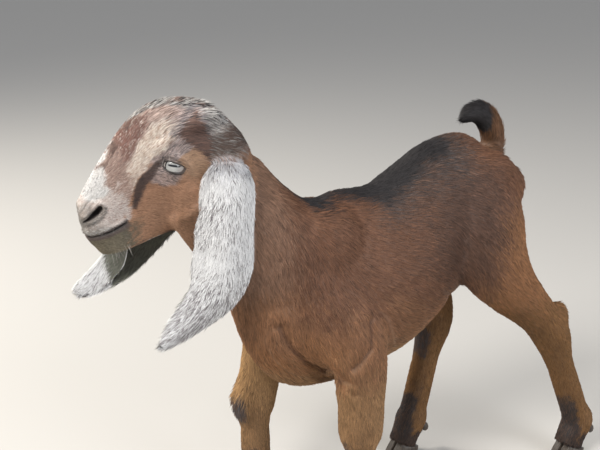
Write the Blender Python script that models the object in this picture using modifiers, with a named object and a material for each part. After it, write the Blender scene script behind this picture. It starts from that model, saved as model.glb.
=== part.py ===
"""A young Nubian goat, standing with its head turned, as a life-size still model.

Metres, +Z up. The goat faces -X, its left side is towards -Y and its claws stand on Z = 0.
The body is lofted and blended as one flesh, which thin planes then part into named nodes.
"""

import math

import bmesh
import bpy
from mathutils import Matrix, Vector
from mathutils.bvhtree import BVHTree

GAP = 0.0003
RING_SIDES = 32
EAR_SIDES = 24
CLAW_SIDES = 18
FLESH_VOXEL = 0.0030
SMOOTH_STEPS = 44
BODY_FACES = 4600
HEAD_FACES = 3200
EYE_SIDES = 18
MERGE = 0.00002
ACROSS = Vector((0.0, 1.0, 0.0))
UPRIGHT = Vector((0.0, 0.0, 1.0))

# The head hangs from the poll, turned to the goat's right and tipped nose down.
POLL = Vector((-0.087, 0.0, 0.502))
HEAD_TURN = math.radians(17)
HEAD_PITCH = math.radians(25)
EYE_ALONG, EYE_SIDE, EYE_UP = 0.069, 0.0325, 0.026
EYE_RADIUS = 0.0130
EYE_LOOK = (0.25, 0.95, 0.18)
LID_TILT = math.radians(36)
EYE_OPENING = (0.0120, 0.0052)

HEAD = (
    # along, top, bottom, half width, widest share, top pinch, bottom pinch
    (-0.014, 0.020, -0.012, 0.022, 0.50, 0.10, 0.10),
    (-0.004, 0.046, -0.030, 0.036, 0.50, 0.12, 0.15),
    (0.014, 0.070, -0.048, 0.042, 0.50, 0.18, 0.15),
    (0.036, 0.085, -0.054, 0.044, 0.52, 0.22, 0.15),
    (0.060, 0.092, -0.055, 0.042, 0.55, 0.24, 0.16),
    (0.084, 0.090, -0.052, 0.038, 0.52, 0.26, 0.18),
    (0.110, 0.079, -0.048, 0.033, 0.48, 0.28, 0.18),
    (0.134, 0.065, -0.046, 0.029, 0.45, 0.26, 0.15),
    (0.155, 0.052, -0.045, 0.0260, 0.42, 0.20, 0.12),
    (0.172, 0.040, -0.042, 0.0240, 0.42, 0.15, 0.12),
    (0.185, 0.027, -0.031, 0.0185, 0.42, 0.10, 0.10),
    (0.192, 0.010, -0.017, 0.0085, 0.42, 0.10, 0.10),
)
# Lumps of bone and muscle on each side of the head: along, side, up, then the three radii.
HEAD_LUMPS = {
    "brow": ((0.066, 0.029, 0.047), (0.024, 0.0125, 0.0125)),
    "lid": ((0.069, 0.0325, 0.026), (0.0190, 0.0158, 0.0170)),
    "cheek": ((0.052, 0.022, -0.014), (0.042, 0.021, 0.036)),
    "cheekbone": ((0.086, 0.024, 0.008), (0.026, 0.011, 0.009)),
    "horn_bud": ((0.028, 0.021, 0.053), (0.026, 0.018, 0.0145)),
    "ear_root": ((0.016, 0.034, 0.006), (0.025, 0.016, 0.020)),
    "upper_lip": ((0.170, 0.010, 0.000), (0.021, 0.015, 0.016)),
    "nose_wing": ((0.176, 0.010, 0.021), (0.012, 0.011, 0.012)),
    "lower_lip": ((0.168, 0.006, -0.028), (0.021, 0.015, 0.011)),
}
# The line of the mouth: how far round from the front, and how high.
MOUTH = (
    (0, -0.0050),
    (20, -0.0060),
    (38, -0.0084),
    (55, -0.0094),
    (75, -0.0086),
    (92, -0.0062),
    (100, -0.0042),
)
MOUTH_CENTRE = 0.148
MOUTH_RADIUS = 0.0016
NOSTRIL = ((0.1690, 0.0210, 0.0160), (0.0115, 0.0050, 0.0044))
NOSTRIL_TILT = math.radians(6)
NOSTRIL_SPLAY = math.radians(28)

NECK = (
    # nape x, z, throat x, z, half width
    (0.060, 0.432, -0.040, 0.215, 0.056),
    (0.028, 0.4295, -0.078, 0.262, 0.056),
    (0.000, 0.4365, -0.098, 0.318, 0.052),
    (-0.034, 0.464, -0.122, 0.358, 0.046),
    (-0.062, 0.494, -0.150, 0.400, 0.041),
    (-0.090, 0.508, -0.172, 0.432, 0.036),
)
TORSO = (
    # x, top, bottom, half width, widest share, top pinch, bottom pinch
    (-0.082, 0.322, 0.278, 0.016, 0.50, 0.00, 0.00),
    (-0.070, 0.350, 0.245, 0.038, 0.50, 0.05, 0.10),
    (-0.045, 0.385, 0.212, 0.055, 0.50, 0.15, 0.20),
    (-0.010, 0.415, 0.192, 0.063, 0.48, 0.30, 0.25),
    (0.030, 0.434, 0.187, 0.066, 0.45, 0.40, 0.25),
    (0.065, 0.438, 0.190, 0.069, 0.42, 0.42, 0.20),
    (0.100, 0.437, 0.199, 0.073, 0.42, 0.35, 0.15),
    (0.140, 0.455, 0.212, 0.075, 0.42, 0.28, 0.12),
    (0.180, 0.477, 0.232, 0.071, 0.45, 0.24, 0.12),
    (0.217, 0.487, 0.260, 0.064, 0.50, 0.18, 0.15),
    (0.250, 0.487, 0.285, 0.060, 0.55, 0.10, 0.20),
    (0.280, 0.468, 0.310, 0.055, 0.55, 0.05, 0.20),
    (0.303, 0.446, 0.338, 0.043, 0.50, 0.05, 0.10),
    (0.317, 0.415, 0.368, 0.020, 0.50, 0.00, 0.00),
)

# Each ear's line in the head's level frame, then its section at each place: ahead, out, up,
# reach of the front and rear halves, how far each half bends inwards, thickness, crease of the front.
EARS = {
    "ear_left": (
        (0.016, 0.026, 0.010, 0.013, 0.013, 40, 40, 0.018, 0.0),
        (0.018, 0.040, 0.006, 0.019, 0.019, 45, 45, 0.014, 0.0),
        (0.018, 0.050, -0.004, 0.025, 0.026, 50, 50, 0.009, 0.0),
        (0.018, 0.057, -0.021, 0.036, 0.037, 55, 55, 0.0075, 0.0),
        (0.019, 0.061, -0.042, 0.039, 0.040, 55, 55, 0.0065, 0.0),
        (0.021, 0.063, -0.067, 0.040, 0.041, 55, 55, 0.0060, 0.0),
        (0.023, 0.063, -0.094, 0.041, 0.042, 55, 55, 0.0060, 0.0),
        (0.025, 0.062, -0.118, 0.042, 0.043, 50, 50, 0.0060, 0.0),
        (0.031, 0.061, -0.141, 0.039, 0.039, 50, 45, 0.0060, 0.0),
        (0.044, 0.060, -0.160, 0.031, 0.031, 50, 40, 0.0060, 0.0),
        (0.062, 0.059, -0.176, 0.024, 0.024, 50, 40, 0.0060, 0.0),
        (0.082, 0.059, -0.192, 0.016, 0.016, 50, 40, 0.0055, 0.0),
        (0.098, 0.060, -0.206, 0.005, 0.005, 30, 30, 0.0040, 0.0),
    ),
    "ear_right": (
        (0.016, 0.026, 0.010, 0.013, 0.013, 40, 40, 0.018, 0.0),
        (0.018, 0.040, 0.006, 0.019, 0.019, 45, 45, 0.014, 0.0),
        (0.022, 0.050, -0.004, 0.025, 0.025, 50, 50, 0.009, 0.0),
        (0.034, 0.058, -0.022, 0.033, 0.034, 55, 50, 0.0075, 0.0),
        (0.054, 0.063, -0.046, 0.036, 0.037, 60, 45, 0.0065, 0.0),
        (0.078, 0.066, -0.072, 0.039, 0.038, 70, 40, 0.0060, 0.0),
        (0.102, 0.067, -0.096, 0.043, 0.038, 90, 35, 0.0060, 0.2),
        (0.122, 0.066, -0.117, 0.046, 0.037, 125, 30, 0.0060, 0.6),
        (0.139, 0.063, -0.133, 0.044, 0.035, 155, 25, 0.0060, 0.9),
        (0.154, 0.059, -0.146, 0.040, 0.030, 170, 25, 0.0060, 1.0),
        (0.168, 0.055, -0.157, 0.034, 0.024, 175, 30, 0.0060, 1.0),
        (0.178, 0.053, -0.164, 0.026, 0.018, 170, 40, 0.0055, 1.0),
        (0.184, 0.052, -0.168, 0.012, 0.010, 170, 40, 0.0045, 1.0),
    ),
}

# Each leg's stations: x, z, distance from the middle plane, half depth, half width.
SHOULDER_TO_KNEE = {
    -1: (
        (-0.010, 0.355, 0.040, 0.040, 0.016),
        (0.004, 0.312, 0.048, 0.050, 0.022),
        (0.036, 0.266, 0.060, 0.046, 0.028),
        (0.047, 0.230, 0.064, 0.036, 0.029),
        (0.048, 0.185, 0.066, 0.031, 0.027),
        (0.048, 0.140, 0.066, 0.029, 0.0265),
    ),
    1: (
        (-0.014, 0.355, 0.040, 0.040, 0.016),
        (-0.012, 0.312, 0.048, 0.048, 0.022),
        (-0.004, 0.268, 0.060, 0.042, 0.028),
        (-0.012, 0.230, 0.062, 0.033, 0.027),
        (-0.022, 0.188, 0.062, 0.028, 0.025),
        (-0.032, 0.147, 0.062, 0.028, 0.0255),
    ),
}
HIP_TO_HOCK = {
    -1: (
        (0.250, 0.430, 0.034, 0.050, 0.022),
        (0.256, 0.380, 0.046, 0.060, 0.030),
        (0.262, 0.330, 0.056, 0.056, 0.030),
        (0.286, 0.290, 0.064, 0.042, 0.028),
        (0.316, 0.260, 0.067, 0.033, 0.026),
        (0.345, 0.230, 0.069, 0.028, 0.024),
        (0.368, 0.200, 0.070, 0.0275, 0.0245),
    ),
    1: (
        (0.246, 0.430, 0.034, 0.050, 0.022),
        (0.246, 0.380, 0.046, 0.060, 0.030),
        (0.236, 0.330, 0.056, 0.056, 0.030),
        (0.243, 0.285, 0.062, 0.042, 0.028),
        (0.257, 0.250, 0.063, 0.033, 0.026),
        (0.268, 0.220, 0.063, 0.028, 0.024),
        (0.266, 0.192, 0.063, 0.0275, 0.0245),
    ),
}
# Where each foot stands, and how thick the leg is below the knee or hock.
FEET = {
    "foreleg_left": (0.050, -0.066),
    "foreleg_right": (-0.030, 0.062),
    "hindleg_left": (0.434, -0.070),
    "hindleg_right": (0.232, 0.063),
}
FETLOCK_HEIGHT = 0.054
CANNON = (0.0205, 0.0180)
FETLOCK = (0.0240, 0.0215)
PASTERN = (0.0210, 0.0205)
CORONET_HEIGHT = 0.0205
CLAW_TOP = 0.034
PASTERN_FORWARD = 0.018

CLAW_LENGTH = 0.045
CLAW_WIDTH = 0.0200
CLAW_SPLIT = 0.0016
CLAW_TOE_SLOPE = math.radians(55)
CLAW_HEEL_SLOPE = math.radians(72)
# The coronet, where hoof meets leg, slopes down to the heel.
CORONET_SLOPE = math.radians(20)
CLAW_RINGS = 4
DEWCLAW_RADII = (0.0065, 0.0050, 0.0080)
DEWCLAW_SPREAD = 0.0105

TAIL = (
    # x, z, half depth, half width
    (0.285, 0.425, 0.018, 0.021),
    (0.301, 0.450, 0.0165, 0.0185),
    (0.303, 0.471, 0.0150, 0.0170),
    (0.298, 0.490, 0.0155, 0.0170),
    (0.287, 0.505, 0.0160, 0.0170),
    (0.271, 0.512, 0.0150, 0.0160),
    (0.257, 0.508, 0.0110, 0.0125),
    (0.247, 0.501, 0.0050, 0.0060),
)

# Lumps of muscle and bone on each side of the body: x, distance from the middle plane, z, then the radii.
BODY_LUMPS = {
    "shoulder": ((-0.026, 0.034, 0.300), (0.040, 0.025, 0.058)),
    "blade": ((0.024, 0.028, 0.352), (0.060, 0.029, 0.074)),
    "haunch": ((0.264, 0.034, 0.398), (0.060, 0.029, 0.070)),
    "pin": ((0.298, 0.030, 0.412), (0.035, 0.023, 0.035)),
}
HOCKS = {"hindleg_left": (0.374, 0.221), "hindleg_right": (0.274, 0.212)}
HOCK_RADII = (0.0205, 0.0150, 0.0310)

# Where the flesh is parted: outlines in x and z, and how far from the middle plane the legs begin.
LEG_REGIONS = {
    "foreleg": (
        (-0.120, -0.050),
        (-0.105, 0.235),
        (-0.045, 0.325),
        (0.020, 0.340),
        (0.080, 0.290),
        (0.125, 0.200),
        (0.125, -0.050),
    ),
    "hindleg": (
        (0.150, -0.050),
        (0.150, 0.170),
        (0.190, 0.270),
        (0.205, 0.350),
        (0.245, 0.425),
        (0.300, 0.434),
        (0.340, 0.400),
        (0.375, 0.300),
        (0.540, 0.240),
        (0.560, -0.050),
    ),
}
LEG_START = {"foreleg": 0.034, "hindleg": 0.024}
TAIL_REGION = (
    (0.245, 0.4945),
    (0.268, 0.4825),
    (0.345, 0.4425),
    (0.400, 0.500),
    (0.380, 0.600),
    (0.180, 0.600),
    (0.190, 0.500),
)
HEAD_REGION = (
    (-0.400, 0.250),
    (-0.400, 0.640),
    (-0.046, 0.640),
    (-0.054, 0.535),
    (-0.110, 0.388),
    (-0.165, 0.366),
)
NECK_BACK = ((-0.125, 0.318), (0.035, 0.470))

COLOURS = {
    "coat": ((0.235, 0.098, 0.045), 0.85),
    "ear": ((0.62, 0.60, 0.60), 0.85),
    "eye": ((0.42, 0.40, 0.34), 0.15),
    "horn": ((0.045, 0.035, 0.030), 0.55),
    "tail": ((0.055, 0.030, 0.022), 0.90),
}


def clear_scene():
    for obj in list(bpy.data.objects):
        bpy.data.objects.remove(obj, do_unlink=True)


def collection(name):
    made = bpy.data.collections.new(name)
    bpy.context.scene.collection.children.link(made)
    return made


def material(name):
    colour, roughness = COLOURS[name]
    made = bpy.data.materials.new(name)
    made.use_nodes = True
    shader = made.node_tree.nodes["Principled BSDF"]
    shader.inputs["Base Color"].default_value = (*colour, 1.0)
    shader.inputs["Roughness"].default_value = roughness
    shader.inputs["Metallic"].default_value = 0.0
    return made


def mesh_object(name, mesh, group):
    obj = bpy.data.objects.new(name, mesh)
    group.objects.link(obj)
    return obj


def between(p, q, r, s, t):
    """The smooth curve through four numbers, a share t of the way from the second to the third."""
    curve = (3 * q - p - 3 * r + s) * t**3 + (2 * p - 5 * q + 4 * r - s) * t * t
    return 0.5 * (2 * q + (r - p) * t + curve)


def spline(rows, per_gap):
    """Rows of numbers, passed through smoothly, with per_gap steps between each two."""
    made = []
    last = len(rows) - 1
    for i in range(last):
        a, b, c, d = (rows[min(max(i + k, 0), last)] for k in (-1, 0, 1, 2))
        for step in range(per_gap):
            t = step / per_gap
            made.append(tuple(between(*four, t) for four in zip(a, b, c, d)))
    made.append(tuple(rows[last]))
    return made


def ring(centre, across, up, half_width, above, below, pinch_top=0.0, pinch_bottom=0.0):
    """One closed section: an oval whose top and bottom may be narrowed."""
    points = []
    for i in range(RING_SIDES):
        angle = 2 * math.pi * i / RING_SIDES
        c, s = math.cos(angle), math.sin(angle)
        pinch = pinch_top if s > 0 else pinch_bottom
        width = half_width * c * (1 - pinch * s * s)
        height = (above if s > 0 else below) * s
        points.append(centre + across * width + up * height)
    return points


def loft(name, rings, group):
    """A closed tube through the rings, with a point closing each end."""
    made = bmesh.new()
    rows = [[made.verts.new(p) for p in points] for points in rings]
    sides = len(rows[0])
    for low, high in zip(rows, rows[1:]):
        for i in range(sides):
            j = (i + 1) % sides
            made.faces.new((low[i], low[j], high[j], high[i]))
    for row in (rows[0], rows[-1]):
        tip = made.verts.new(sum((v.co for v in row), Vector()) / sides)
        for i in range(sides):
            made.faces.new((row[i], row[(i + 1) % sides], tip))
    bmesh.ops.recalc_face_normals(made, faces=made.faces)
    mesh = bpy.data.meshes.new(name)
    made.to_mesh(mesh)
    made.free()
    return mesh_object(name, mesh, group)


def ellipsoid(name, centre, radii, turn, group, segments=24):
    made = bmesh.new()
    bmesh.ops.create_uvsphere(made, u_segments=segments, v_segments=segments // 2, radius=1.0)
    made.transform(Matrix.Translation(centre) @ turn.to_4x4() @ Matrix.Diagonal((*radii, 1.0)))
    mesh = bpy.data.meshes.new(name)
    made.to_mesh(mesh)
    made.free()
    return mesh_object(name, mesh, group)


def head_axes():
    """The head's own directions in the world: forward, to its left, and up."""
    level = Vector((-math.cos(HEAD_TURN), math.sin(HEAD_TURN), 0.0))
    left = UPRIGHT.cross(level)
    forward = level * math.cos(HEAD_PITCH) - UPRIGHT * math.sin(HEAD_PITCH)
    return forward, left, forward.cross(left)


FORWARD, LEFT, UP = head_axes()
HEAD_TURNED = Matrix((FORWARD, LEFT, UP)).transposed()


def in_head(along, side, up):
    return POLL + FORWARD * along + LEFT * side + UP * up


def head_lofts(group):
    rings = []
    for along, top, bottom, width, share, pinch_top, pinch_bottom in spline(HEAD, 4):
        middle = bottom + (top - bottom) * share
        reach = (width, top - middle, middle - bottom)
        rings.append(ring(in_head(along, 0, middle), LEFT, UP, *reach, pinch_top, pinch_bottom))
    made = [loft("head_form", rings, group)]
    for name, (place, radii) in HEAD_LUMPS.items():
        for side in (-1, 1):
            centre = in_head(place[0], side * place[1], place[2])
            made.append(ellipsoid(f"{name}_form", centre, radii, HEAD_TURNED, group))
    return made


def neck_loft(group):
    rings = []
    for nape_x, nape_z, throat_x, throat_z, width in spline(NECK, 4):
        nape, throat = Vector((nape_x, 0, nape_z)), Vector((throat_x, 0, throat_z))
        half = (nape - throat).length / 2
        up = (nape - throat).normalized()
        rings.append(ring((nape + throat) / 2, ACROSS, up, width, half, half, 0.15, 0.10))
    return loft("neck_form", rings, group)


def torso_loft(group):
    rings = []
    for x, top, bottom, width, share, pinch_top, pinch_bottom in spline(TORSO, 3):
        middle = bottom + (top - bottom) * share
        reach = (width, top - middle, middle - bottom)
        rings.append(ring(Vector((x, 0, middle)), ACROSS, UPRIGHT, *reach, pinch_top, pinch_bottom))
    return loft("torso_form", rings, group)


def limb_rings(stations):
    """Rings square to a limb's line, from rows of x, y, z, half depth, half width."""
    rows = spline(stations, 4)
    places = [Vector(row[:3]) for row in rows]
    rings = []
    for i, row in enumerate(rows):
        along = (places[min(i + 1, len(rows) - 1)] - places[max(i - 1, 0)]).normalized()
        across = (ACROSS - along * along.y).normalized()
        rings.append(ring(places[i], across, along.cross(across), row[4], row[3], row[3]))
    return rings


def leg_stations(name):
    side = -1 if name.endswith("left") else 1
    upper = (SHOULDER_TO_KNEE if name.startswith("fore") else HIP_TO_HOCK)[side]
    rows = [(x, side * y, z, depth, width) for x, z, y, depth, width in upper]
    foot_x, foot_y = FEET[name]
    joint_x, joint_z = upper[-1][0], upper[-1][1]
    for share in (0.30, 0.62, 0.86):
        x = joint_x + (foot_x - joint_x) * share
        y = rows[-1][1] if share == 0.30 else foot_y
        rows.append((x, y, joint_z + (FETLOCK_HEIGHT - joint_z) * share, *CANNON))
    rows.append((foot_x, foot_y, FETLOCK_HEIGHT, *FETLOCK))
    rows.append((foot_x - PASTERN_FORWARD * 0.5, foot_y, FETLOCK_HEIGHT * 0.62, *PASTERN))
    rows.append((foot_x - PASTERN_FORWARD, foot_y, CORONET_HEIGHT * 0.6, *PASTERN))
    rows.append((foot_x - PASTERN_FORWARD * 1.2, foot_y, CORONET_HEIGHT * 0.2, *PASTERN))
    return rows


def tail_loft(group):
    return loft("tail_form", limb_rings([(x, 0.0, z, depth, width) for x, z, depth, width in TAIL]), group)


def body_lumps(group):
    """Muscle and bone that round the shoulders, haunches and hocks."""
    plain = Matrix.Identity(3)
    made = []
    for name, ((x, y, z), radii) in BODY_LUMPS.items():
        for side in (-1, 1):
            made.append(ellipsoid(name + "_form", Vector((x, side * y, z)), radii, plain, group))
    for name, (x, z) in HOCKS.items():
        place = Vector((x, FEET[name][1], z))
        made.append(ellipsoid("hock_form", place, HOCK_RADII, plain, group))
    return made


def new_mesh_from(obj):
    graph = bpy.context.evaluated_depsgraph_get()
    return bpy.data.meshes.new_from_object(obj.evaluated_get(graph))


def bake_modifiers(obj):
    """Replaces the object's mesh by what its modifiers make."""
    mesh = new_mesh_from(obj)
    obj.modifiers.clear()
    obj.data = mesh
    return obj


def joined(name, objects, group):
    made = bmesh.new()
    for obj in objects:
        made.from_mesh(obj.data)
        bpy.data.objects.remove(obj, do_unlink=True)
    mesh = bpy.data.meshes.new(name)
    made.to_mesh(mesh)
    made.free()
    return mesh_object(name, mesh, group)


def weight_by(obj, name, rule):
    """A vertex group whose weight at each vertex is what the rule gives for its place."""
    group = obj.vertex_groups.new(name=name)
    for vertex in obj.data.vertices:
        group.add([vertex.index], rule(vertex.co), "REPLACE")
    return group.name


def headness(place):
    """1 on the head, falling to 0 along the neck."""
    local = HEAD_TURNED.inverted() @ (place - POLL)
    return min(max((local.x + 0.035) / 0.025, 0.0), 1.0) * min(max((place.z - 0.37) / 0.03, 0.0), 1.0)


def softness(place):
    """How much each place is smoothed: most on the trunk, little on the face, shanks and tail."""
    if place.z > 0.440 and place.x > 0.275:
        return 0.12
    legs = min(max((place.z - 0.20) / 0.06, 0.0), 1.0)
    return max(0.12, legs * (1 - 0.86 * headness(place)))


def blended_flesh(group):
    """Head, neck, torso, legs and tail as one smooth closed surface."""
    forms = head_lofts(group) + body_lumps(group)
    forms += [neck_loft(group), torso_loft(group), tail_loft(group)]
    forms += [loft(name + "_form", limb_rings(leg_stations(name)), group) for name in FEET]
    flesh = joined("flesh", forms, group)
    remesh = flesh.modifiers.new("Remesh", "REMESH")
    remesh.mode = "VOXEL"
    remesh.voxel_size = FLESH_VOXEL
    bake_modifiers(flesh)
    smooth = flesh.modifiers.new("Smooth", "SMOOTH")
    smooth.factor = 0.5
    smooth.iterations = SMOOTH_STEPS
    smooth.vertex_group = weight_by(flesh, "soft", softness)
    bake_modifiers(flesh)
    flesh.vertex_groups.clear()
    return flesh


def thinned(obj, inside, faces_left):
    """Fewer triangles where the rule says inside, and none taken from the rest."""
    mesh = obj.data
    sizes = [(len(p.vertices) - 2, inside(p.center)) for p in mesh.polygons]
    total = sum(n for n, _ in sizes)
    kept = sum(n for n, here in sizes if not here)
    thin = obj.modifiers.new("Decimate", "DECIMATE")
    thin.ratio = (kept + faces_left) / total
    thin.use_collapse_triangulate = True
    thin.vertex_group = weight_by(obj, "thin", lambda place: 1.0 if inside(place) else 0.0)
    thin.vertex_group_factor = 1.0
    bake_modifiers(obj)
    obj.vertex_groups.clear()
    return obj


def cutter(obj):
    obj.hide_render = True
    obj.display_type = "WIRE"
    return obj


def prism(name, outline, low, high, axis, group, grow=0.0):
    """A closed prism on an outline, for cutting: axis X sweeps a (y, z) outline, and Y an (x, z) one."""
    middle = sum((Vector(p) for p in outline), Vector((0, 0))) / len(outline)
    made = bmesh.new()
    ends = []
    for place in (low - grow, high + grow):
        row = []
        for p in outline:
            a, b = Vector(p) + (Vector(p) - middle).normalized() * grow * 1.3
            row.append(made.verts.new((place, a, b) if axis == "X" else (a, place, b)))
        ends.append(row)
        made.faces.new(row)
    for i in range(len(outline)):
        j = (i + 1) % len(outline)
        made.faces.new((ends[0][i], ends[0][j], ends[1][j], ends[1][i]))
    bmesh.ops.recalc_face_normals(made, faces=made.faces)
    mesh = bpy.data.meshes.new(name)
    made.to_mesh(mesh)
    made.free()
    return cutter(mesh_object(name, mesh, group))


def half_space(name, line, group, grow=0.0):
    """A large box on the left of a line in the x-z plane, seen from the goat's left."""
    start, end = Vector(line[0]), Vector(line[1])
    along = (end - start).normalized()
    out = Vector((-along.y, along.x))
    reach = 0.6
    corners = [
        start - along * reach - out * grow,
        end + along * reach - out * grow,
        end + along * reach + out * reach,
        start - along * reach + out * reach,
    ]
    return prism(name, [tuple(c) for c in corners], -0.4, 0.4, "Y", group)


def combined(obj, other, operation):
    """The object's mesh after one exact Boolean with the other."""
    made = obj.modifiers.new("Boolean", "BOOLEAN")
    made.operation = operation
    made.object = other
    made.solver = "EXACT"
    return bake_modifiers(obj)


def copied(obj, name, group):
    return mesh_object(name, obj.data.copy(), group)


def swollen(obj, name, amount, group):
    """A copy whose surface stands out from the object's by an amount."""
    made = bmesh.new()
    made.from_mesh(obj.data)
    made.normal_update()
    for vertex, normal in [(v, v.normal.copy()) for v in made.verts]:
        vertex.co += normal * amount
    mesh = bpy.data.meshes.new(name)
    made.to_mesh(mesh)
    made.free()
    return cutter(mesh_object(name, mesh, group))


def eye_turn(side):
    """The eye's own directions: along its slit, out of the head, and across the slit."""
    out = (FORWARD * EYE_LOOK[0] + LEFT * side * EYE_LOOK[1] + UP * EYE_LOOK[2]).normalized()
    slit = FORWARD * math.cos(LID_TILT) + UP * math.sin(LID_TILT)
    slit = (slit - out * slit.dot(out)).normalized()
    return Matrix((slit, out, slit.cross(out))).transposed()


def eye_centre(side):
    return in_head(EYE_ALONG, side * EYE_SIDE, EYE_UP)


def eye_opening(side, group):
    """An almond prism that opens the lids in front of the eye."""
    turn = eye_turn(side)
    length, height = EYE_OPENING
    made = bmesh.new()
    rows = []
    for depth in (0.002, 0.030):
        flare = 1.0 + 0.25 * (depth > 0.01)
        row = []
        for i in range(20):
            angle = 2 * math.pi * i / 20
            along = math.cos(angle)
            across = math.sin(angle) * abs(math.sin(angle)) ** 0.25
            place = Vector((along * length * flare, depth, across * height * flare))
            row.append(made.verts.new(eye_centre(side) + turn @ place))
        rows.append(row)
        made.faces.new(row)
    for i in range(20):
        j = (i + 1) % 20
        made.faces.new((rows[0][i], rows[0][j], rows[1][j], rows[1][i]))
    bmesh.ops.recalc_face_normals(made, faces=made.faces)
    mesh = bpy.data.meshes.new("eye_opening")
    made.to_mesh(mesh)
    made.free()
    return cutter(mesh_object("eye_opening", mesh, group))


def tube(name, places, radius, group, sides=8):
    """A round tube through the places, tapering to its ends."""
    made = bmesh.new()
    rows = []
    for i, place in enumerate(places):
        along = (places[min(i + 1, len(places) - 1)] - places[max(i - 1, 0)]).normalized()
        across = along.cross(UP).normalized()
        up = across.cross(along)
        size = radius * (0.45 if i in (0, len(places) - 1) else 1.0)
        row = []
        for k in range(sides):
            angle = 2 * math.pi * k / sides
            row.append(made.verts.new(place + (across * math.cos(angle) + up * math.sin(angle)) * size))
        rows.append(row)
    for low, high in zip(rows, rows[1:]):
        for i in range(sides):
            made.faces.new((low[i], low[(i + 1) % sides], high[(i + 1) % sides], high[i]))
    made.faces.new(rows[0])
    made.faces.new(rows[-1])
    bmesh.ops.recalc_face_normals(made, faces=made.faces)
    mesh = bpy.data.meshes.new(name)
    made.to_mesh(mesh)
    made.free()
    return cutter(mesh_object(name, mesh, group))


def mouth_groove(flesh, group):
    """A tube laid round the muzzle on the line of the mouth."""
    tree = BVHTree.FromObject(flesh, bpy.context.evaluated_depsgraph_get())
    places = []
    for turn, up in spline(list(reversed(mirrored_mouth())), 3):
        angle = math.radians(turn)
        out = FORWARD * math.cos(angle) + LEFT * math.sin(angle)
        start = in_head(MOUTH_CENTRE, 0, up)
        hit = tree.ray_cast(start + out * 0.08, -out)[0]
        places.append(hit + out * 0.0002)
    return tube("mouth_groove", places, MOUTH_RADIUS, group)


def mirrored_mouth():
    return [(-turn, up) for turn, up in reversed(MOUTH[1:])] + list(MOUTH)


def nostril(side, group):
    place, radii = NOSTRIL
    turn = HEAD_TURNED @ Matrix.Rotation(-NOSTRIL_TILT, 3, "Y")
    turn = turn @ Matrix.Rotation(-side * NOSTRIL_SPLAY, 3, "Z")
    centre = in_head(place[0], side * place[1], place[2])
    return cutter(ellipsoid("nostril", centre, radii, turn, group, 16))


def face_cuts(flesh, group):
    """Eye sockets, the opening between the lids, nostrils and the line of the mouth."""
    groove = mouth_groove(flesh, group)
    for side in (-1, 1):
        radius = EYE_RADIUS + GAP
        socket = ellipsoid("socket", eye_centre(side), (radius,) * 3, eye_turn(side), group, EYE_SIDES)
        for tool in (cutter(socket), eye_opening(side, group), nostril(side, group)):
            combined(flesh, tool, "DIFFERENCE")
    combined(flesh, groove, "DIFFERENCE")


def ear(name, group):
    """A hanging ear: a curled leaf of even thickness, from inside the head to its tip."""
    side = -1 if name.endswith("right") else 1
    level = Vector((-math.cos(HEAD_TURN), math.sin(HEAD_TURN), 0.0))
    rows = spline(EARS[name], 2)
    places = [POLL + level * r[0] + LEFT * (side * r[1]) + Vector((0, 0, r[2])) for r in rows]
    rings = []
    for i, row in enumerate(rows):
        along = (places[min(i + 1, len(rows) - 1)] - places[max(i - 1, 0)]).normalized()
        front = (level - along * level.dot(along)).normalized()
        out = front.cross(along) * side
        rings.append(curled_section(places[i], front, out, *row[3:]))
    return loft(name, rings, group)


def curled_section(centre, front, out, front_reach, rear_reach, front_turn, rear_turn, thick, fold_over):
    """A closed crescent: its rims bend inwards by the two turns, and its front may fold over."""
    steps = EAR_SIDES // 4
    outer, inner = [], []
    halves = ((-1, rear_reach, rear_turn, 0.0), (1, front_reach, front_turn, fold_over))
    for direction, reach, turn, fold in halves:
        place = centre.copy()
        line = []
        for k in range(steps + 1):
            share = k / steps
            bent = min(max((share - 0.15 * fold) / (1 - 0.70 * fold), 0.0), 1.0)
            angle = math.radians(turn) * bent
            lean = (front * direction * math.cos(angle) - out * math.sin(angle)).normalized()
            face = (front * direction * math.sin(angle) + out * math.cos(angle)).normalized()
            if k:
                place = place + lean * (reach / steps)
            half = thick / 2 * math.sqrt(max(1 - share**4, 0.0)) if k < steps else 0.0
            line.append((place + face * half, place - face * half))
        if direction < 0:
            outer += [p[0] for p in reversed(line)]
            inner += [p[1] for p in reversed(line)]
        else:
            outer += [p[0] for p in line[1:]]
            inner += [p[1] for p in line[1:]]
    return outer + list(reversed(inner[1:-1]))


def claw(foot_x, foot_y, outward, group):
    """One claw of a cloven hoof: flat below, round outside and straight where it faces its twin."""
    toe = foot_x - PASTERN_FORWARD - CLAW_LENGTH * 0.52
    rings = []
    for i in range(CLAW_RINGS):
        z = CLAW_TOP * i / (CLAW_RINGS - 1)
        front = toe + z / math.tan(CLAW_TOE_SLOPE)
        back = toe + CLAW_LENGTH + z / math.tan(CLAW_HEEL_SLOPE) * 0.35
        length = back - front
        width = CLAW_WIDTH * (1.0 - 0.10 * i / (CLAW_RINGS - 1))
        points = []
        for k in range(CLAW_SIDES):
            angle = 2 * math.pi * k / CLAW_SIDES
            along = 0.5 - 0.5 * math.cos(angle)
            bulge = math.sin(angle)
            out = width * (0.5 + 0.5 * abs(bulge) ** 0.8 * (0.55 + 0.45 * along)) if bulge > 0 else 0.0
            inside = -0.0006 * math.sin(math.pi * along) if bulge <= 0 else 0.0
            inside += width * 0.10 * abs(math.cos(angle)) ** 6
            side = CLAW_SPLIT / 2 + (out if bulge > 0 else inside)
            points.append(Vector((front + along * length, foot_y + outward * side, z)))
        rings.append(points)
    return loft("claw", rings, group)


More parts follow.
